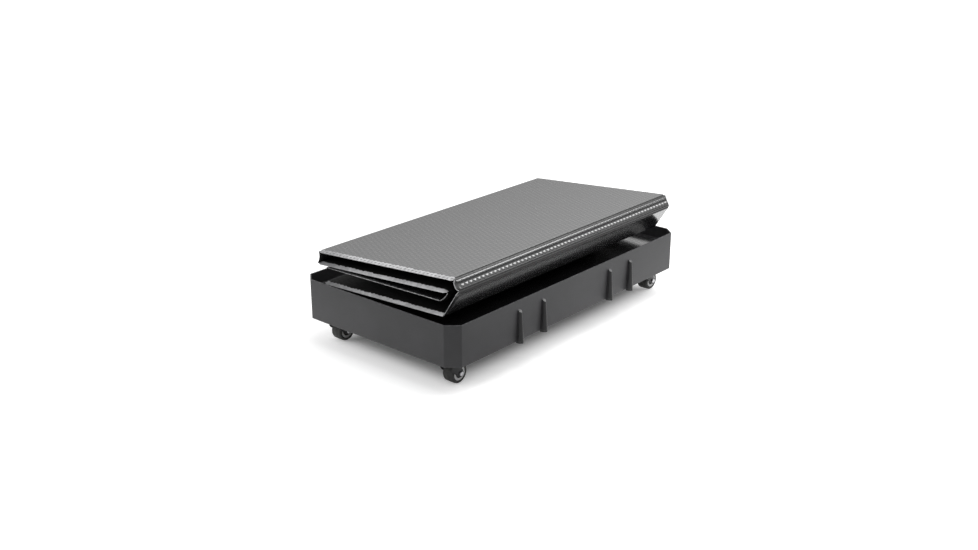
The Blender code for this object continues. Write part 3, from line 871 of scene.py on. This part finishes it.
def side_ribs():
    post = bpy.data.objects.new("half_post", half_post())
    sizes = {"Post": post, "Rib Gap": RIB_GAP, "Pair Gap": RIB_PAIR_GAP, "Half Width": HALF_WIDTH}
    ribs = Pattern("side_ribs", sizes)
    gap, pair_gap = ribs.size("Rib Gap"), ribs.size("Pair Gap")
    pair = ribs.on_points(ribs.line(2, ribs.vector(gap), ribs.vector(gap * -0.5)), ribs.shape_of("Post"))
    start = ribs.vector(pair_gap * -0.5, ribs.size("Half Width"))
    left = ribs.real(ribs.on_points(ribs.line(2, ribs.vector(pair_gap), start), ribs.real(pair)))
    ribs.end(ribs.join(left, ribs.move(left, rotation=(0, 0, math.pi))), charcoal)
    made = ribs.mesh()
    bpy.data.objects.remove(post)
    return made


add_piece("tray_side_ribs", side_ribs(), charcoal, "tray")
print("side ribs: two pairs on each long side")

# %% [markdown]
# ### Under the deck
# A thin deck needs ribs beneath it and a cluster of screw bosses over each caster. Nobody sees them from
# above, but the tray is often turned over, so they are laid out as the moulding has them.

# %% Deck ribs and screw bosses
DECK_RIB = 0.0025
DECK_RIB_DEPTH = 0.0180
LONG_RIB_SPACING = 0.1400
CROSS_RIB_SPACING = 0.2400
BOSS_LOW = 0.0753
BOSS_RADIUS = 0.0055
BOSS_WEB = 0.0025
SCREW_SPACING_X = 0.0450
SCREW_SPACING_Y = 0.0350
PLACES = ["front_left", "front_right", "rear_left", "rear_right"]
BOSS_HIGH = DECK_UNDER + WALL / 4
swivel_axes = {place: Vector(joints[place + "_swivel_turn"]["pos_m"]) for place in PLACES}


def at_casters(mesh, height):
    """A copy of the mesh at that height on each swivel's axis."""
    return joined([placed(mesh, shift(axis.x, axis.y, height)) for axis in swivel_axes.values()])


def deck_ribs():
    sizes = {
        "Length": 2 * (HALF_LENGTH - WALL / 2), "Width": 2 * (HALF_WIDTH - WALL / 2), "Rib": DECK_RIB,
        "Depth": DECK_RIB_DEPTH, "Long Spacing": LONG_RIB_SPACING, "Cross Spacing": CROSS_RIB_SPACING,
    }
    ribs = Pattern("deck_ribs", sizes)
    rib, depth = ribs.size("Rib"), ribs.size("Depth")
    long_gap, cross_gap = ribs.size("Long Spacing"), ribs.size("Cross Spacing")
    long_rib = ribs.box(ribs.vector(ribs.size("Length"), rib, depth))
    cross_rib = ribs.box(ribs.vector(rib, ribs.size("Width"), depth))
    long_places = ribs.line(2, ribs.vector(0.0, long_gap), ribs.vector(0.0, long_gap * -0.5))
    cross_places = ribs.line(3, ribs.vector(cross_gap), ribs.vector(cross_gap * -1.0))
    lengthwise = ribs.on_points(long_places, long_rib)
    crosswise = ribs.on_points(cross_places, cross_rib)
    ribs.end(ribs.join(lengthwise, crosswise), charcoal)
    return placed(ribs.mesh(), shift(z=DECK_UNDER - DECK_RIB_DEPTH / 2 + WALL / 4))


def screw_bosses():
    sizes = {
        "Across": SCREW_SPACING_X, "Along": SCREW_SPACING_Y, "Radius": BOSS_RADIUS,
        "Height": BOSS_HIGH - BOSS_LOW, "Web": BOSS_WEB,
    }
    bosses = Pattern("screw_bosses", sizes)
    across, along = bosses.size("Across"), bosses.size("Along")
    web, tall = bosses.size("Web"), bosses.size("Height")
    inputs = {"Vertices": 24, "Radius": bosses.size("Radius"), "Depth": tall}
    pillar = bosses.node("GeometryNodeMeshCylinder", None, inputs)
    pillars = bosses.on_points(bosses.grid(across, along, 2), pillar)
    lift = bosses.vector(0.0, 0.0, web * 0.5)
    rows = bosses.line(2, bosses.vector(0.0, along), bosses.vector(0.0, along * -0.5))
    columns = bosses.line(2, bosses.vector(across), bosses.vector(across * -0.5))
    row_web = bosses.move(bosses.box(bosses.vector(across, web, tall - web)), lift)
    column_web = bosses.move(bosses.box(bosses.vector(web, along, tall - web)), lift)
    webs = bosses.on_points(rows, row_web), bosses.on_points(columns, column_web)
    bosses.end(bosses.join(pillars, *webs), charcoal)
    return at_casters(bosses.mesh(), (BOSS_LOW + BOSS_HIGH) / 2)


add_piece("tray_deck_ribs", deck_ribs(), charcoal, "tray")
add_piece("tray_screw_bosses", screw_bosses(), charcoal, "tray")
print("under the deck: ribs and", 4 * len(PLACES), "bosses")

# %% [markdown]
# ## Casters
# A caster is a pressed plate, a race with its balls, a rivet for a kingpin, a fork that trails behind it,
# and a wheel on an axle. The four are alike, so each shape is made once about its own axis and copied to
# its place.

# %% Caster shapes
WHEEL_RADIUS = 0.0254
TREAD_WIDTH = 0.0318
HUB_RADIUS = 0.0180
HUB_WIDTH = 0.0300
HUB_DISH = 0.0118
HUB_DISH_DEPTH = 0.0050
HUB_BOSS = 0.0062
AXLE_RADIUS = 0.0030
AXLE_HEAD = 0.0055
AXLE_HEAD_HEIGHT = 0.0034
THREAD = 0.0002
PIN_END = 0.0008
NUT_EDGE = 0.0003
CHEEK_INNER = 0.0174
CHEEK_THICKNESS = 0.0025
CHEEK_EYE = 0.0090
CHEEK_SHOULDER = 0.0140
CHEEK_EDGE = 0.0006
CHEEK_STEPS = 16
CROWN_LOW = 0.0558
CROWN_HIGH = 0.0588
CROWN_RADIUS = 0.0215
CROWN_EDGE = 0.0008
RACE_LOW = 0.0591
RACE_HIGH = 0.0717
RACE_RADIUS = 0.0190
RACE_NECK = 0.0135
RACE_WAIST = 0.0069
RACE_GROOVE = 0.0014
KINGPIN = 0.0050
KINGPIN_HEAD = 0.0085
KINGPIN_HEAD_HEIGHT = 0.0024
PLATE_LOW = 0.0720
PLATE_HIGH = 0.0750
PLATE_HALF_X = 0.0310
PLATE_HALF_Y = 0.0260
PLATE_CORNER = 0.0070
PLATE_EDGE = 0.0005
SCREW_HOLE = 0.0026
SEAT = 0.0003
TYRE_SEAT = 0.0001
TYRE_SEAM = 0.0006
TYRE_SEAM_RISE = 0.0002
TYRE_SHOULDER = 0.0045
TYRE_EDGE = 0.0006
DISH_SHADE_EDGE = 0.0003
trail = joints["front_left_wheel_roll"]["pos_m"][0] - swivel_axes["front_left"].x
upright = Matrix.Rotation(math.pi / 2, 4, "X")


def tyre_shape():
    half, inner = TREAD_WIDTH / 2, HUB_RADIUS + TYRE_SEAT
    side = [(inner, half), (WHEEL_RADIUS, half)]
    crown = [(WHEEL_RADIUS, TYRE_SEAM), (WHEEL_RADIUS + TYRE_SEAM_RISE, 0), (WHEEL_RADIUS, -TYRE_SEAM)]
    low = [(WHEEL_RADIUS, -half), (inner, -half)]
    radii = [TYRE_EDGE, TYRE_SHOULDER, 0, 0, 0, TYRE_SHOULDER, TYRE_EDGE]
    return turned(rounded(side + crown + low, radii, steps=6), steps=96, closed=True)


def hub_shape():
    half = HUB_WIDTH / 2
    boss_half = CHEEK_INNER - SEAT
    floor_height = half - HUB_DISH_DEPTH
    upper = [
        (AXLE_RADIUS + SEAT, boss_half), (HUB_BOSS, boss_half), (HUB_BOSS, floor_height),
        (HUB_DISH, floor_height), (HUB_DISH, half), (HUB_RADIUS, half),
    ]
    lower = [(radius, -height) for radius, height in reversed(upper)]
    radii = [0.0002, 0.0006, 0.0012, 0.0012, 0.0008, 0.0006]
    hub = turned(rounded(upper + lower, radii + radii[::-1]), steps=72, closed=True)
    # the dish's points carry the mark for its painted shade
    mark = hub.attributes.new(DISH_SHADE_MARK, "FLOAT", "POINT")
    for vert in hub.vertices:
        mark.data[vert.index].value = vert.co.xy.length < HUB_DISH + DISH_SHADE_EDGE
    return hub


def axle_shape():
    outer = CHEEK_INNER + CHEEK_THICKNESS + SEAT
    end = outer + AXLE_HEAD_HEIGHT
    head = [(0, end), (AXLE_HEAD, end), (AXLE_HEAD, outer)]
    pin = [(AXLE_RADIUS, outer), (AXLE_RADIUS, -end), (0, -end)]
    bolt = turned(rounded(head + pin, [0, 0.0016, 0.0003, 0, 0.0005, 0], closed=False), steps=40)
    nut_outlines = [circle(AXLE_HEAD, steps=6), circle(AXLE_RADIUS + THREAD)]
    nut = flat_plate(nut_outlines, AXLE_HEAD_HEIGHT - PIN_END, NUT_EDGE)
    return joined([bolt, placed(nut, shift(z=-(outer + AXLE_HEAD_HEIGHT / 2 - PIN_END / 2)))])


def fork_shape():
    """A round crown and two raked cheeks, as pressed from one strip."""
    shoulder = Vector((0, CROWN_HIGH - SEAT - CHEEK_SHOULDER))
    eye = Vector((trail, WHEEL_RADIUS))
    link = shoulder - eye
    along = math.atan2(link.y, link.x)
    lean = math.acos((CHEEK_EYE - CHEEK_SHOULDER) / link.length)
    shares = [i / CHEEK_STEPS for i in range(CHEEK_STEPS + 1)]
    top = [along - lean + 2 * lean * share for share in shares]
    low = [along + lean + 2 * (math.pi - lean) * share for share in shares]
    outline = [tuple(shoulder + CHEEK_SHOULDER * Vector((math.cos(a), math.sin(a)))) for a in top]
    outline += [tuple(eye + CHEEK_EYE * Vector((math.cos(a), math.sin(a)))) for a in low]
    cheek = flat_plate([outline, circle(AXLE_RADIUS + SEAT, eye)], CHEEK_THICKNESS, CHEEK_EDGE)
    crown_outlines = [circle(CROWN_RADIUS, steps=64), circle(KINGPIN + SEAT)]
    crown = flat_plate(crown_outlines, CROWN_HIGH - CROWN_LOW, CROWN_EDGE)
    middle = CHEEK_INNER + CHEEK_THICKNESS / 2
    cheeks = [placed(cheek, upright, shift(y=side * middle)) for side in (1, -1)]
    return joined([placed(crown, shift(z=(CROWN_LOW + CROWN_HIGH) / 2))] + cheeks)


def race_shape():
    """The pressed cup: a flange, a groove where the balls sit, and a neck drawn in under the plate."""
    bore = KINGPIN + SEAT
    waist = RACE_LOW + RACE_WAIST
    groove = RACE_RADIUS - RACE_GROOVE
    corners = [
        (bore, RACE_HIGH), (RACE_NECK, RACE_HIGH), (RACE_RADIUS, waist), (RACE_RADIUS, waist - 0.0022),
        (groove, waist - 0.0027), (groove, waist - 0.0037),
        (RACE_RADIUS, waist - 0.0042), (RACE_RADIUS, RACE_LOW), (bore, RACE_LOW),
    ]
    radii = [0.0003, 0.0012, 0.0015, 0.0004, 0.0002, 0.0002, 0.0004, 0.001, 0.0003]
    return turned(rounded(corners, radii), steps=72, closed=True)


def kingpin_shape():
    foot, top = CROWN_LOW - SEAT, PLATE_HIGH + SEAT
    head = KINGPIN_HEAD_HEIGHT
    corners = [
        (0, top + head), (KINGPIN_HEAD, top + head), (KINGPIN_HEAD, top), (KINGPIN, top),
        (KINGPIN, foot), (KINGPIN_HEAD, foot), (KINGPIN_HEAD, foot - head), (0, foot - head),
    ]
    return turned(rounded(corners, [0, 0.0012, 0.0003, 0, 0, 0.0003, 0.0012, 0], closed=False), steps=48)


def plate_shape():
    x, y = PLATE_HALF_X, PLATE_HALF_Y
    outline = rounded([(x, -y), (x, y), (-x, y), (-x, -y)], PLATE_CORNER, steps=5)
    spots = [(sx * SCREW_SPACING_X / 2, sy * SCREW_SPACING_Y / 2) for sx in (1, -1) for sy in (1, -1)]
    holes = [circle(SCREW_HOLE, spot) for spot in spots] + [circle(KINGPIN + SEAT)]
    plate = flat_plate([outline] + holes, PLATE_HIGH - PLATE_LOW, PLATE_EDGE)
    return placed(plate, shift(z=(PLATE_LOW + PLATE_HIGH) / 2))


caster_shapes = {
    "caster_plate": (plate_shape(), zinc, "tray", "zinc_steel"),
    "swivel_race": (race_shape(), zinc, "tray", "zinc_steel"),
    "kingpin": (kingpin_shape(), zinc, "tray", "zinc_steel"),
    "fork": (fork_shape(), lacquer, "swivel", "fork_steel"),
    "axle": (axle_shape(), zinc, "swivel", "zinc_steel"),
    "hub": (hub_shape(), hub_plastic, "wheel", "hub_plastic"),
    "tyre": (tyre_shape(), rubber, "wheel", "tyre_rubber"),
}
print("caster shapes:", ", ".join(caster_shapes))

# %% Four casters
on_axle = shift(trail, 0, WHEEL_RADIUS) @ upright
for place, axis in swivel_axes.items():
    for kind, (shape, material, rider, slot) in caster_shapes.items():
        turn = on_axle if kind in ("axle", "hub", "tyre") else Matrix()
        body = "tray" if rider == "tray" else place + "_" + rider
        mesh = placed(shape, turn, shift(axis.x, axis.y))
        add_piece(f"{place}_{kind}_piece", mesh, material, body, [f"{place}_{kind}"])
print("casters:", len(PLACES), "of", len(caster_shapes), "pieces")

# %% [markdown]
# ### Plate screws
# Four screws hold each plate to its bosses. A screw is a domed head with a crossed recess, cut once, and a
# pattern puts it under the four holes of all four plates.

# %% Plate screws
SCREW_HEAD = 0.0048
SCREW_HEAD_HEIGHT = 0.0022
SCREW_LENGTH = 0.006
SCREW_PLAY = 0.0001
RECESS_BAR = (0.0054, 0.0010, 0.0024, 1)


def screw_shape():
    head = [(0, -SCREW_HEAD_HEIGHT), (SCREW_HEAD, -SCREW_HEAD_HEIGHT), (SCREW_HEAD, 0)]
    shank = [(SCREW_HOLE - SEAT, 0), (SCREW_HOLE - SEAT, SCREW_LENGTH), (0, SCREW_LENGTH)]
    blank = turned(rounded(head + shank, [0, 0.0018, 0.0003, 0, 0, 0], closed=False), steps=32)
    screw = bpy.data.objects.new("screw", blank)
    scene.collection.objects.link(screw)
    for turn in (0, math.pi / 2):
        bm = bmesh.new()
        bmesh.ops.create_cube(bm, size=1.0)
        moves = Matrix.Diagonal(RECESS_BAR), Matrix.Rotation(turn, 4, "Z"), shift(z=-SCREW_HEAD_HEIGHT)
        cutter = bpy.data.objects.new("slot", placed(mesh_of(bm), *moves))
        scene.collection.objects.link(cutter)
        cut = screw.modifiers.new("slot", "BOOLEAN")
        cut.operation = "DIFFERENCE"
        cut.object = cutter
    mesh = baked(screw)
    for obj in [obj for obj in bpy.data.objects if obj.name.startswith("slot")]:
        bpy.data.objects.remove(obj)
    return mesh


def plate_screws():
    screw = bpy.data.objects.new("screw_shape", screw_shape())
    screws = Pattern("plate_screws", {"Screw": screw, "Across": SCREW_SPACING_X, "Along": SCREW_SPACING_Y})
    corners = screws.grid(screws.size("Across"), screws.size("Along"), 2)
    screws.end(screws.on_points(corners, screws.shape_of("Screw")), zinc)
    four = screws.mesh()
    bpy.data.objects.remove(screw)
    return at_casters(four, PLATE_LOW - SCREW_PLAY)


add_piece("plate_screws", plate_screws(), zinc, "tray")
print("screws:", 4 * len(PLACES))

# %% [markdown]
# ## The folded mat
# The mat is one long sheet with nine creases. Between two creases it is a flat panel, pinched thin where it
# folds and sealed at both ends, where the upper skin is pressed down onto the lower one. Each panel rides
# on its own body, and a thin web of skin bends round each crease to join it to the next.

# %% Crease lines from the frame
PANELS = [
    "base_panel", "lower_gusset", "middle_panel", "spine_lower", "spine_upper",
    "top_panel", "inner_gusset", "inner_panel", "hairpin_gusset", "end_panel",
]
CREASES = [
    "lower_fold", "lower_gusset_fold", "spine_fold", "spine_knee_fold", "spine_head_fold",
    "inner_fold", "inner_gusset_fold", "hairpin_fold", "hairpin_gusset_fold",
]
ON_EDGE = 1e-5
mat_low, mat_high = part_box("mat_base_panel")


def free_edge(node, furthest):
    """The middle of a panel's free edge, as (y, z)."""
    points = [vert.co for vert in frame["nodes"][node].data.vertices]
    edge = furthest(point.y for point in points)
    heights = [point.z for point in points if abs(point.y - edge) < ON_EDGE]
    return edge, sum(heights) / len(heights)


folds = [tuple(joints[name]["pos_m"][1:]) for name in CREASES]
folds = [free_edge("mat_base_panel", min)] + folds + [free_edge("mat_end_panel", max)]
headings = [math.atan2(b[1] - a[1], b[0] - a[0]) for a, b in zip(folds, folds[1:])]
widths = [math.dist(a, b) for a, b in zip(folds, folds[1:])]
print("panel widths, mm:", [round(1000 * width) for width in widths])

# %% [markdown]
# ### One panel
# A panel is a fine grid whose thickness depends on how near the edge is: full in the middle, falling to a
# thin lip along a crease, and pressed down onto the lower skin at a welded end. The weld is scalloped by
# the bubbles, the corners are cut back beside the two creases of the spine, and three narrow strips bow
# inwards. The skin beside a crease is crushed, so it is matt, and it is also painted a little darker as
# shade. The depth in the weld and the matt, painted-shade skin are written on the points for the finish.
# The flat map is in metres, so that the bubbles run on from one panel to the next.

# %% Panel sizes
BOARD = 0.0070
LIP = 0.0016
LIP_ROUND = 0.0005
CREASE_GAP = 0.0008
CREASE_RUN = 0.0026
CREASE_ROOM = 1.25
HEAD_RUN = 0.0016
CRUSHED = 0.0012
KNEE_CRUSHED = 0.0045
# how matt a crushed crease is, and how far it is painted dark as shade
CRUSHED_MATT_SHADE = 0.55
EDGE_RUN = 0.0080
WELD_RUN = 0.0068
WELD_WAVE = 0.0005
CUT_EDGE = 0.0024
NOTCH = 0.0040
NOTCH_RUN = 0.0080
NOTCH_FADE = 0.0300
NOTCHED_FOLDS = {"spine_knee_fold", "spine_head_fold"}
WELDED_ABOVE = {"base_panel", "middle_panel", "top_panel", "inner_panel"}
BARE_CUT = {"spine_upper"}
INWARD_BOW = {"spine_upper": 0.0030, "inner_gusset": 0.0040, "hairpin_gusset": 0.0028}
LONG_STEP = 0.060
CROSS_STEP = 0.003
EDGE_SHARES = [0.0, 0.2, 0.4, 0.6, 0.8, 0.9, 1.0, 1.1, 1.2, 1.4, 1.6]
EASE_FROM = 0.8
EASE_TO = 1.2
MAT_SMOOTH_ANGLE = 50


def fold_turn(index):
    """How far the sheet turns at the crease after a panel."""
    return abs((headings[index + 1] - headings[index] + math.pi) % (2 * math.pi) - math.pi)


half_openings = [(math.pi - fold_turn(index)) / 2 for index in range(len(CREASES))]
setbacks = [0] + [LIP / 2 / math.tan(half) + CREASE_GAP / 2 for half in half_openings] + [0]
runs = [max(CREASE_RUN, CREASE_ROOM * BOARD / 2 / math.tan(half)) for half in half_openings]
runs[CREASES.index("spine_head_fold")] = HEAD_RUN
runs = [EDGE_RUN] + runs + [EDGE_RUN]
matt_runs = [0] + [KNEE_CRUSHED if name == "spine_knee_fold" else CRUSHED for name in CREASES] + [0]
print("slopes beside the creases, mm:", [round(1000 * run, 1) for run in runs])


# %% Panel shape
def eased(share):
    """Rises straight from 0 and rounds off into 1."""
    share = np.clip(share, 0, EASE_TO)
    over = np.clip(share - EASE_FROM, 0, None)
    return share - over * over / (2 * (EASE_TO - EASE_FROM))


def stations(low, high, first_run, last_run, step):
    """Places between two edges: close together on the slopes, evenly apart between them."""
    near = [low + first_run * share for share in EDGE_SHARES]
    far = [high - last_run * share for share in reversed(EDGE_SHARES)]
    count = max(round((far[0] - near[-1]) / step), 1)
    between = [near[-1] + (far[0] - near[-1]) * k / count for k in range(1, count)]
    return np.array(near + between + far)


def panel_matrix(index):
    """From a panel's own axes, length, width and thickness, to the frame."""
    y, z = folds[index]
    return Matrix.Translation((0, y, z)) @ Matrix.Rotation(headings[index], 4, "X")


def bow_of(index, across):
    """How far a narrow strip hangs in from the straight line between its creases."""
    share = across / widths[index]
    return -4 * INWARD_BOW.get(PANELS[index], 0) * share * (1 - share)


def notch_at(fold):
    """How far the sheet's end is cut back at a fold. Folds 0 and 10 are the sheet's free edges."""
    inside = 0 < fold <= len(CREASES)
    return NOTCH if inside and CREASES[fold - 1] in NOTCHED_FOLDS else 0


def panel_skins(index):
    """The panel's grid, its upper and lower heights, its depth in the weld and how matt and painted dark
    its skin is.
    """
    welded = PANELS[index] in WELDED_ABOVE
    first, last = setbacks[index] + LIP_ROUND, widths[index] - setbacks[index + 1] - LIP_ROUND
    low, high = mat_low.x + LIP_ROUND, mat_high.x - LIP_ROUND
    xs = stations(low, high, WELD_RUN, WELD_RUN, LONG_STEP)
    ys = stations(first, last, runs[index], runs[index + 1], CROSS_STEP)
    along, across = np.meshgrid(xs, ys, indexing="ij")
    from_end = np.minimum(along - low, high - along)
    wave = WELD_WAVE * np.cos((across + sum(widths[:index])) * math.pi / ROW_GAP)
    weld = eased((from_end + wave * (from_end > 0)) / WELD_RUN)
    half = BOARD / 2 * eased(np.minimum((across - first) / runs[index], (last - across) / runs[index + 1]))
    half = np.maximum(half, LIP / 2)
    bow = bow_of(index, across)
    if welded:
        slope = LIP - half + (2 * half - LIP) * weld
        upward = math.cos(headings[index]) > 0
        top, bottom = (slope, -half) if upward else (half, -slope)
    else:
        top = LIP / 2 + (half - LIP / 2) * weld
        bottom = -top
    notch = notch_at(index) * np.clip(1 - (across - first) / NOTCH_RUN, 0, 1) ** 2
    notch += notch_at(index + 1) * np.clip(1 - (last - across) / NOTCH_RUN, 0, 1) ** 2
    notch *= np.clip(1 - from_end / NOTCH_FADE, 0, 1)
    along = along + np.where(along < (low + high) / 2, notch, -notch)
    depth = np.maximum(WELD_START + WELD_RUN - from_end, 0) * welded
    # the bare cut end of the spine is marked pale, a painted highlight along the edge
    if PANELS[index] in BARE_CUT:
        depth = (WELD_START + CUT_EDGE) * (from_end < SAME_PLACE)
    crushed = (across - first < matt_runs[index]) | (last - across < matt_runs[index + 1])
    return along, across, top + bow, bottom + bow, depth, crushed * CRUSHED_MATT_SHADE


def panel_mesh(index):
    along, across, top, bottom, depth, matt_shade = panel_skins(index)
    rows, columns = along.shape
    bm = bmesh.new()
    weld_mark = bm.verts.layers.float.new(WELD_MARK)
    matt_shade_mark = bm.verts.layers.float.new(MATT_SHADE_MARK)
    flat = bm.loops.layers.uv.new(PANEL_MAP)

    def point(i, j, height, inner, out_x=0, out_y=0):
        vert = bm.verts.new((along[i, j] + out_x, across[i, j] + out_y, height))
        vert[weld_mark] = depth[i, j]
        vert[matt_shade_mark] = inner
        return vert

    # the upper skin is matt and painted dark beside a crushed crease; the lower, inner skin is matt and
    # painted dark all over, as shade
    upper = [[point(i, j, top[i, j], matt_shade[i, j]) for j in range(columns)] for i in range(rows)]
    lower = [[point(i, j, bottom[i, j], 1) for j in range(columns)] for i in range(rows)]
    for i in range(rows - 1):
        for j in range(columns - 1):
            bm.faces.new((upper[i][j], upper[i + 1][j], upper[i + 1][j + 1], upper[i][j + 1]))
            bm.faces.new((lower[i][j], lower[i][j + 1], lower[i + 1][j + 1], lower[i + 1][j]))
    span_x, span_y = rows - 1, columns - 1
    loop = [(i, 0) for i in range(span_x)] + [(span_x, j) for j in range(span_y)]
    loop += [(i, span_y) for i in range(span_x, 0, -1)] + [(0, j) for j in range(span_y, 0, -1)]
    rim = []
    for i, j in loop:
        out_x = LIP_ROUND * ((i == span_x) - (i == 0))
        out_y = LIP_ROUND * ((j == span_y) - (j == 0))
        rim.append(point(i, j, (top[i, j] + bottom[i, j]) / 2, 0.5, out_x, out_y))
        # the sheet's cut ends are marked pale, a painted highlight along the edge
        if out_x:
            rim[-1][weld_mark] = WELD_START + CUT_EDGE
    for k in range(len(loop)):
        (i, j), (m, n) = loop[k - 1], loop[k]
        bm.faces.new((upper[m][n], upper[i][j], rim[k - 1], rim[k]))
        bm.faces.new((rim[k], rim[k - 1], lower[i][j], lower[m][n]))
    bmesh.ops.recalc_face_normals(bm, faces=bm.faces)
    start = sum(widths[:index])
    for face in bm.faces:
        for corner in face.loops:
            corner[flat].uv = (corner.vert.co.x, corner.vert.co.y + start)
    return placed(mesh_of(bm), panel_matrix(index))


for index, name in enumerate(PANELS):
    mesh = panel_mesh(index)
    add_piece(f"{name}_board", mesh, board, name, [f"mat_{name}"], MAT_SMOOTH_ANGLE)
print("mat panels:", len(PANELS))

# %% [markdown]
# ### Crease webs
# At a crease the two skins are welded into one thin web that bends like a hinge. A web starts tangent to
# one lip and ends tangent to the next, which is what a quadratic curve with its middle point on the crease
# does. The web is made at rest and is not attached to either panel.

# %% Crease webs
WEB_STEPS = 8
WEB_OVERLAP = 0.0006
WEB_SHARE = 0.92
# how matt a web is, and how far it is painted dark as crease shade
WEB_MATT_SHADE = 0.6


def web_mesh(index):
    """The web at the crease that follows a panel, and the two points where it starts and ends."""
    crease = Vector((0, *folds[index + 1]))
    before = Vector((0, math.cos(headings[index]), math.sin(headings[index])))
    after = Vector((0, math.cos(headings[index + 1]), math.sin(headings[index + 1])))
    reach = setbacks[index + 1] + LIP_ROUND + WEB_OVERLAP
    start, end = crease - before * reach, crease + after * reach
    bm = bmesh.new()
    flat = bm.loops.layers.uv.new(PANEL_MAP)
    matt_shade_mark = bm.verts.layers.float.new(MATT_SHADE_MARK)
    inset = notch_at(index + 1) + LIP_ROUND
    ends = [Vector((x, 0, 0)) for x in (mat_low.x + inset, mat_high.x - inset)]
    rings = []
    for k in range(WEB_STEPS + 1):
        share = k / WEB_STEPS
        middle = start * (1 - share) ** 2 + crease * 2 * share * (1 - share) + end * share ** 2
        along = ((crease - start) * (1 - share) + (end - crease) * share).normalized()
        out = Vector((0, -along.z, along.y)) * (LIP / 2 * WEB_SHARE)
        rings.append([bm.verts.new(middle + side * out + x) for x in ends for side in (1, -1)])
    for ring, following in zip(rings, rings[1:]):
        for a, b in ((0, 1), (1, 3), (3, 2), (2, 0)):
            bm.faces.new((ring[a], ring[b], following[b], following[a]))
    for ring in (rings[0], rings[-1]):
        bm.faces.new((ring[0], ring[1], ring[3], ring[2]))
    bmesh.ops.recalc_face_normals(bm, faces=bm.faces)
    # the webs are matt and painted a little darker as crease shade
    for vert in bm.verts:
        vert[matt_shade_mark] = WEB_MATT_SHADE
    run = sum(widths[: index + 1])
    for face in bm.faces:
        for corner in face.loops:
            corner[flat].uv = (corner.vert.co.x, run)
    return mesh_of(bm), start, end


for index, name in enumerate(CREASES):
    mesh, start, end = web_mesh(index)
    web = dressed(f"{name}_web", mesh, board, MAT_SMOOTH_ANGLE)
    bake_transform(web)
print("crease webs:", len(CREASES))

# %% [markdown]
# ### Bubbles on the spine
# Where the sheet turns down into its spine the outer skin is stretched over the core, so two rows of
# bubbles stand out. Each row is a line of points with a low dome on each, and the second row is shifted by
# half a bubble, as honeycomb is. The lower row is separate bright ovals. The upper row is squeezed by the
# fold, so that its domes run together into one beaded ridge. The long borders of a row are turned down into
# the skin, so no edge hangs free.

# %% Spine bubbles
BUBBLE_EDGE = 0.0002
BUBBLE_SKIRT = 0.0022
BUBBLE_SKIRT_FROM = 0.49
BUBBLE_GRID = 9
BUBBLE_ROWS = [
    {"share": 0.33, "offset": 0.25, "lean": 10, "width": 0.0110, "height": 0.0014, "beading": 1.0},
    {"share": 0.80, "offset": -0.25, "lean": 13, "width": 0.0062, "height": 0.0006, "beading": 0.4},
]
spine = PANELS.index("spine_upper")
mat_middle = (mat_low.x + mat_high.x) / 2
bubble_count = int((mat_high.x - mat_low.x - 2 * WELD_RUN) / BUBBLE_PITCH)


def bubble_row(row):
    sizes = {
        "Count": bubble_count, "Pitch": BUBBLE_PITCH, "Width": row["width"],
        "Height": row["height"], "Beading": row["beading"],
    }
    bubbles = Pattern("bubble_row", sizes)
    count, pitch, width = bubbles.size("Count"), bubbles.size("Pitch"), bubbles.size("Width")
    points = bubbles.line(count, bubbles.vector(pitch), bubbles.vector(pitch * (count - 1) * -0.5))
    patch = bubbles.grid(pitch, width, BUBBLE_GRID)
    x, y, _ = bubbles.xyz(bubbles.node("GeometryNodeInputPosition"))
    beads = (bubbles.cosine(x / pitch * math.pi) - 1) * bubbles.size("Beading") + 1
    swell = beads * bubbles.cosine(y / width * math.pi)
    border = bubbles.math("GREATER_THAN", bubbles.math("ABSOLUTE", y), width * BUBBLE_SKIRT_FROM)
    lift = bubbles.vector(0.0, 0.0, swell * bubbles.size("Height") - border * BUBBLE_SKIRT)
    dome = bubbles.node("GeometryNodeSetPosition", None, {"Geometry": patch, "Offset": lift})
    bubbles.end(bubbles.on_points(points, dome), board)
    across = row["share"] * widths[spine]
    surface = BOARD / 2 + bow_of(spine, across) + BUBBLE_EDGE
    lean = Matrix.Rotation(math.radians(-row["lean"]), 4, "X")
    return placed(bubbles.mesh(), lean, shift(mat_middle + row["offset"] * BUBBLE_PITCH, across, surface))


bubble_rows = joined([bubble_row(row) for row in BUBBLE_ROWS])
spine_bubbles = placed(bubble_rows, panel_matrix(spine))
add_piece("spine_bubbles", spine_bubbles, board, "spine_upper")
print("spine bubbles:", len(BUBBLE_ROWS) * bubble_count)
